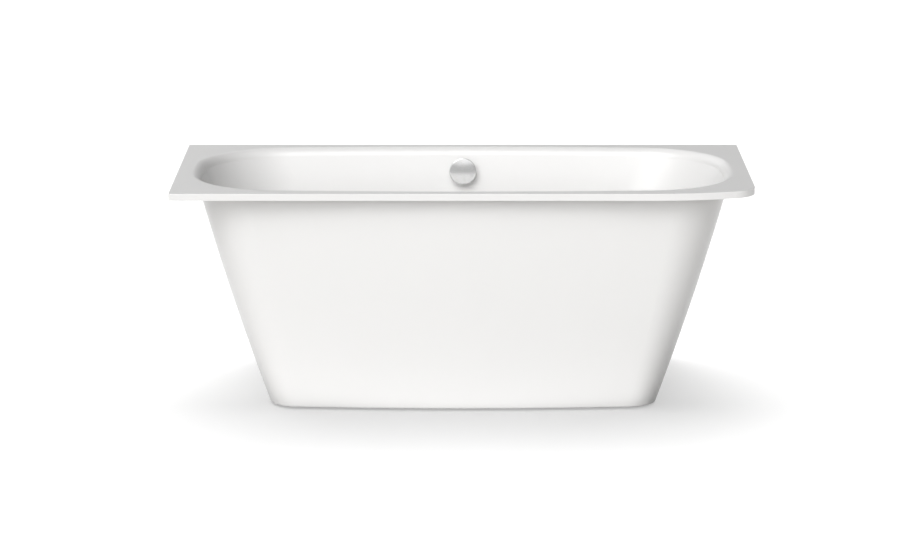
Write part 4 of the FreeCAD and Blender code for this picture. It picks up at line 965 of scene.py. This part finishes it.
@dataclass
class CableRun:
    """Cable between the overflow's sheave and the lift's crank: a sheath and the bare ends of its core."""

    sheath_points: tuple[Point, ...] = (
        (0.0319, 0.323514, 0.530729), (0.090, 0.323514, 0.530729), (0.090, 0.314425, 0.473344),
        (0.090, 0.284258, 0.282876), (0.090, 0.256108, 0.105142), (0.065748, 0.140676, 0.105142),
        (0.053, 0.080, 0.105142), (0.053, 0.018, 0.105142))
    sheath_radius: float = 2.5 * MM
    sheath_bore: float = 1.05 * MM
    sheath_step: float = 4.0 * MM
    sheath_facets: int = 20
    sheath_smooth_below: float = 60.0
    core_radius: float = 0.75 * MM
    core_smooth_below: float = 50.0
    strands: int = 6
    strand_depth: float = 0.72
    strand_lay: float = 7.0 * MM
    turn_steps: int = 14
    barrel_ease: float = 0.3 * MM
    barrel_facets: int = 32

    def sheath(self) -> bpy.types.Object:
        """Build the sheath along its route.

        Returns:
            The sheath.
        """
        route = Route(self.sheath_points)
        steps = round(route.length / self.sheath_step)
        stations = [(route.length * step / steps, self.sheath_radius) for step in range(steps + 1)]
        shape = route.tube(stations, self.sheath_bore, self.sheath_facets, steps)
        return new_piece("cable_sheath.round", shape, self.sheath_smooth_below)

    def wire(self, shape: bmesh.types.BMesh, start: Vector, end: Vector) -> None:
        """Add a straight stranded wire to a shape.

        Args:
            shape: the shape that gets the wire.
            start: one end.
            end: the other end.
        """
        run = end - start
        steps = round(run.length / self.strand_lay * self.turn_steps)
        verts, first = first_ring(shape, start, run, self.core_radius, 2 * self.strands)
        to_start = Matrix.Translation(start)
        hollow = to_start @ Matrix.Scale(self.strand_depth, 4) @ to_start.inverted()
        bmesh.ops.transform(shape, matrix=hollow, verts=verts[::2])
        twist = (Matrix.Translation(start + run / steps)
                 @ Matrix.Rotation(math.tau / self.turn_steps, 4, run.normalized())
                 @ to_start.inverted())
        ring = first
        for step in range(steps):
            away = Matrix.Translation(run * step / steps)
            ring = next_ring(shape, ring, away @ twist @ away.inverted())
        for end_ring in (first, ring):
            bmesh.ops.contextual_create(shape, geom=end_ring)

    def barrel(self, shape: bmesh.types.BMesh, seat: Vector, radius: float, length: float) -> None:
        """Add the barrel that sits in the lift's crank to a shape.

        Args:
            shape: the shape that gets the barrel.
            seat: the barrel's middle.
            radius: its radius.
            length: its length, which lies along the bath.
        """
        lying = Matrix.Translation(seat) @ Matrix.Rotation(math.radians(90), 4, "Y")
        bmesh.ops.create_cone(shape, cap_ends=True, segments=self.barrel_facets, radius1=radius,
                              radius2=radius, depth=length, matrix=lying)
        rims = [edge for edge in shape.edges if abs(edge.verts[0].co.x - edge.verts[1].co.x) < LEVEL]
        bmesh.ops.bevel(shape, geom=rims, offset=self.barrel_ease, offset_type="OFFSET",
                        affect="EDGES", segments=EASE_STEPS, profile=ROUND_EASE)

    def core(self, node: str, shape: bmesh.types.BMesh) -> bpy.types.Object:
        """Turn a stranded shape into the bare end of a core.

        Args:
            node: the core that it stands in for.
            shape: its shape.

        Returns:
            The bare end.
        """
        bmesh.ops.recalc_face_normals(shape, faces=shape.faces)
        return new_piece(node + ".stranded", shape, self.core_smooth_below)

    def core_upper(self, node: str) -> bpy.types.Object:
        """Build the wire that the sheave winds.

        Args:
            node: the core that it stands in for.

        Returns:
            The wire.
        """
        low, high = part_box(node)
        middle = (low + high) / 2
        shape = bmesh.new()
        self.wire(shape, Vector((low.x, middle.y, middle.z)), Vector((high.x, middle.y, middle.z)))
        return self.core(node, shape)

    def core_lower(self, node: str) -> bpy.types.Object:
        """Build the wire that pulls the lift's crank, with the barrel on its end.

        Args:
            node: the core that it stands in for.

        Returns:
            The wire and its barrel.
        """
        low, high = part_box(node)
        radius = (high.z - low.z) / 2
        seat = Vector(((low.x + high.x) / 2, low.y + radius, (low.z + high.z) / 2))
        side = self.sheath_points[-1][0]
        shape = bmesh.new()
        self.barrel(shape, seat, radius, high.x - low.x)
        self.wire(shape, Vector((side, seat.y, seat.z)), Vector((side, high.y, seat.z)))
        return self.core(node, shape)

    def build(self, finishes: Finishes) -> None:
        """Build the sheath and the two bare ends of the core.

        Args:
            finishes: the bath's finishes.
        """
        finishes.stand_in(self.sheath(), "cable_sheath")
        finishes.stand_in(self.core_upper("cable_core_upper"), "cable_core_upper")
        finishes.stand_in(self.core_lower("cable_core_lower"), "cable_core_lower")


# Studio


def stand_light(light: bpy.types.Light, heading: Vector, reach: Reach,
                named: Sequence[str]) -> bpy.types.Object:
    """Stand a light in the studio.

    Args:
        light: the light.
        heading: the way it shines.
        reach: what it does to the named pieces.
        named: pieces that it alone lights, or that it spares.

    Returns:
        The lamp, at the origin.
    """
    lamp = bpy.data.objects.new(light.name, light)
    lamp.rotation_euler = heading.to_track_quat("-Z", "Y").to_euler()
    bpy.context.scene.collection.objects.link(lamp)
    pieces = bpy.data.collections.new(light.name + "_reach")
    for name in named:
        pieces.objects.link(bpy.data.objects[name])
    for linked in pieces.collection_objects:
        linked.light_linking.link_state = reach.value
    lamp.light_linking.receiver_collection = pieces
    return lamp


@dataclass(frozen=True)
class Lamp:
    """A wide soft lamp, so far away that it lights everything evenly.

    Its azimuth goes from the front round by the left, and angles are in degrees. At a strength of 1
    it shows a white face across its beam as white.
    """

    name: str
    azimuth: float
    elevation: float
    spread: float
    strength: float
    reach: Reach = Reach.SPARES
    named: tuple[str, ...] = (FLOOR,)

    def hang(self) -> None:
        """Add the lamp to the scene."""
        light = bpy.data.lights.new(self.name, "SUN")
        light.angle = math.radians(self.spread)
        light.energy = math.pi * self.strength
        side, rise = math.radians(self.azimuth), math.radians(self.elevation)
        flat = math.cos(rise)
        heading = Vector((math.sin(side) * flat, math.cos(side) * flat, -math.sin(rise)))
        stand_light(light, heading, self.reach, self.named)


@dataclass(frozen=True)
class Card:
    """A glowing card out of the camera's sight, which lights a single piece; white at a level of 1."""

    name: str
    spot: Point
    heading: Point
    size: Span
    level: float
    lit: str
    mirrored: bool

    def hang(self) -> None:
        """Add the card to the scene."""
        light = bpy.data.lights.new(self.name, "AREA")
        light.shape = "RECTANGLE"
        light.size, light.size_y = self.size
        light.energy = math.pi * self.level * light.size * light.size_y
        lamp = stand_light(light, Vector(self.heading), Reach.LIGHTS, (self.lit,))
        lamp.location = self.spot
        lamp.visible_camera = False
        lamp.visible_glossy = self.mirrored


@dataclass
class Studio:
    """White floor, soft lamps and the camera at the photo's angle.

    Places and sizes are in metres, the pitch in degrees, the lens and the sensor in millimetres.
    """

    lamps: tuple[Lamp, ...] = (
        Lamp("front", azimuth=0, elevation=40, spread=50, strength=0.11),
        Lamp("front_low", azimuth=0, elevation=20, spread=60, strength=0.14, named=(FLOOR, KNOB)),
        Lamp("left_front", azimuth=20, elevation=25, spread=60, strength=0.45, named=(FLOOR, KNOB)),
        Lamp("left_wide", azimuth=40, elevation=35, spread=50, strength=0.083),
        Lamp("left_high", azimuth=25, elevation=50, spread=40, strength=0.30),
        Lamp("behind_left", azimuth=150, elevation=35, spread=60, strength=0.209),
        Lamp("floor_behind", azimuth=180, elevation=65, spread=80, strength=1.108, reach=Reach.LIGHTS),
        Lamp("floor_behind_low", azimuth=180, elevation=50, spread=40, strength=0.257, reach=Reach.LIGHTS),
        Lamp("floor_left", azimuth=120, elevation=50, spread=40, strength=0.134, reach=Reach.LIGHTS),
    )
    knob_card_spot: Point = (0.0, -0.10, 0.50)
    knob_card_size: Span = (0.60, 0.12)
    knob_card_level: float = 0.52
    basin_card_spot: Point = (-0.20, -0.12, 0.46)
    basin_card_heading: Point = (0.35, 1.0, 0.0)
    basin_card_size: Span = (0.70, 0.12)
    basin_card_level: float = 0.50
    skirt_card_size: Span = (1.30, 0.20)
    skirt_card_shift: float = -0.11
    skirt_card_level: float = 0.55
    skirt_card_gap: float = 10.0 * MM
    skirt_card_height: float = 2.0 * MM
    skirt_foot_height: float = 50.0 * MM
    world_mirrored: float = 0.5
    world_backdrop: float = 1.0
    floor_half: float = 200.0
    floor_gap: float = 0.1 * MM
    floor_colour: Colour = (0.62, 0.62, 0.62)
    floor_bounce: Colour = (0.44, 0.435, 0.425)
    floor_lift: float = 0.435
    camera_spot: Point = (-0.008, -8.8526, 2.2625)
    camera_pitch: float = 12.39
    lens: float = 133.43
    sensor: float = 36.0

    def floor(self) -> None:
        """Lay a floor that keeps the shadow, reads as white and sends less light back up."""
        shape = bmesh.new()
        bmesh.ops.create_grid(shape, x_segments=1, y_segments=1, size=self.floor_half,
                              matrix=Matrix.Translation((0.0, 0.0, -self.floor_gap)))
        piece = new_piece(FLOOR, shape)
        paint = Paint("studio_floor")
        paint.set(Base_Color=paint.blend(self.floor_colour, self.floor_bounce, paint.ray(Ray.DIFFUSE)),
                  Roughness=1.0, Specular_IOR_Level=0.0,
                  Emission_Color=paint.seen(), Emission_Strength=self.floor_lift)
        piece.data.materials.append(paint.material)

    def world(self) -> None:
        """Make the room dark to what it could light, pale in the gloss and white behind the bath."""
        world = bpy.data.worlds.new("studio")
        world.use_nodes = True
        nodes = Nodes(world.node_tree, "ShaderNodeOutputWorld")
        dark, mirrored, backdrop = (
            nodes.node("ShaderNodeBackground", {}, {"Color": WHITE, "Strength": level})
            for level in (0.0, self.world_mirrored, self.world_backdrop))
        room = nodes.mixed(nodes.seen(), dark, mirrored)
        nodes.feed(nodes.output.inputs["Surface"], nodes.mixed(nodes.ray(Ray.CAMERA), room, backdrop))
        bpy.context.scene.world = world

    def camera(self) -> None:
        """Stand the camera where the photo was taken from."""
        lens = bpy.data.cameras.new("camera")
        lens.sensor_fit = "HORIZONTAL"
        lens.sensor_width = self.sensor
        lens.lens = self.lens
        lens.clip_end = 2 * self.floor_half
        eye = bpy.data.objects.new("camera", lens)
        eye.location = self.camera_spot
        eye.rotation_euler = (math.radians(90.0 - self.camera_pitch), 0.0, 0.0)
        bpy.context.scene.collection.objects.link(eye)
        bpy.context.scene.camera = eye

    def cards(self) -> tuple[Card, ...]:
        """Place the cards that lift the knob, the back of the basin and the foot of the skirt.

        Returns:
            The cards.
        """
        low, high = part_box("overflow_knob")
        to_knob = (low + high) / 2 - Vector(self.knob_card_spot)
        tub, skirt = frame["nodes"]["bath_shell"], frame["nodes"]["skirt_panel"]
        foot = min(corner.co.y for corner in skirt.data.vertices if corner.co.z < self.skirt_foot_height)
        ahead = foot - self.skirt_card_gap - self.skirt_card_size[1] / 2
        skirt_spot = (self.skirt_card_shift, ahead, self.skirt_card_height)
        return (
            Card("knob_card", self.knob_card_spot, tuple(to_knob), self.knob_card_size,
                 self.knob_card_level, KNOB, mirrored=True),
            Card("basin_card", self.basin_card_spot, self.basin_card_heading, self.basin_card_size,
                 self.basin_card_level, tub.name, mirrored=False),
            Card("skirt_card", skirt_spot, tuple(UP), self.skirt_card_size,
                 self.skirt_card_level, skirt.name, mirrored=False),
        )

    def build(self) -> None:
        """Set the whole studio up."""
        self.camera()
        self.floor()
        self.world()
        for light in (*self.lamps, *self.cards()):
            light.hang()
        bpy.context.scene.view_settings.view_transform = "Standard"


def main() -> None:
    """Build every sub-assembly and the studio."""
    logging.basicConfig(level=logging.INFO, format="%(name)s: %(message)s")
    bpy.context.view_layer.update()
    finishes = Finishes()
    for part in (TubAndSkirt(), FootBase(), WallSide(), OverflowSet(), WasteSet(), CableRun()):
        part.build(finishes)
        LOG.info("built %s", type(part).__name__)
    Studio().build()
    LOG.info("built the studio")


if __name__ == "__main__":
    main()
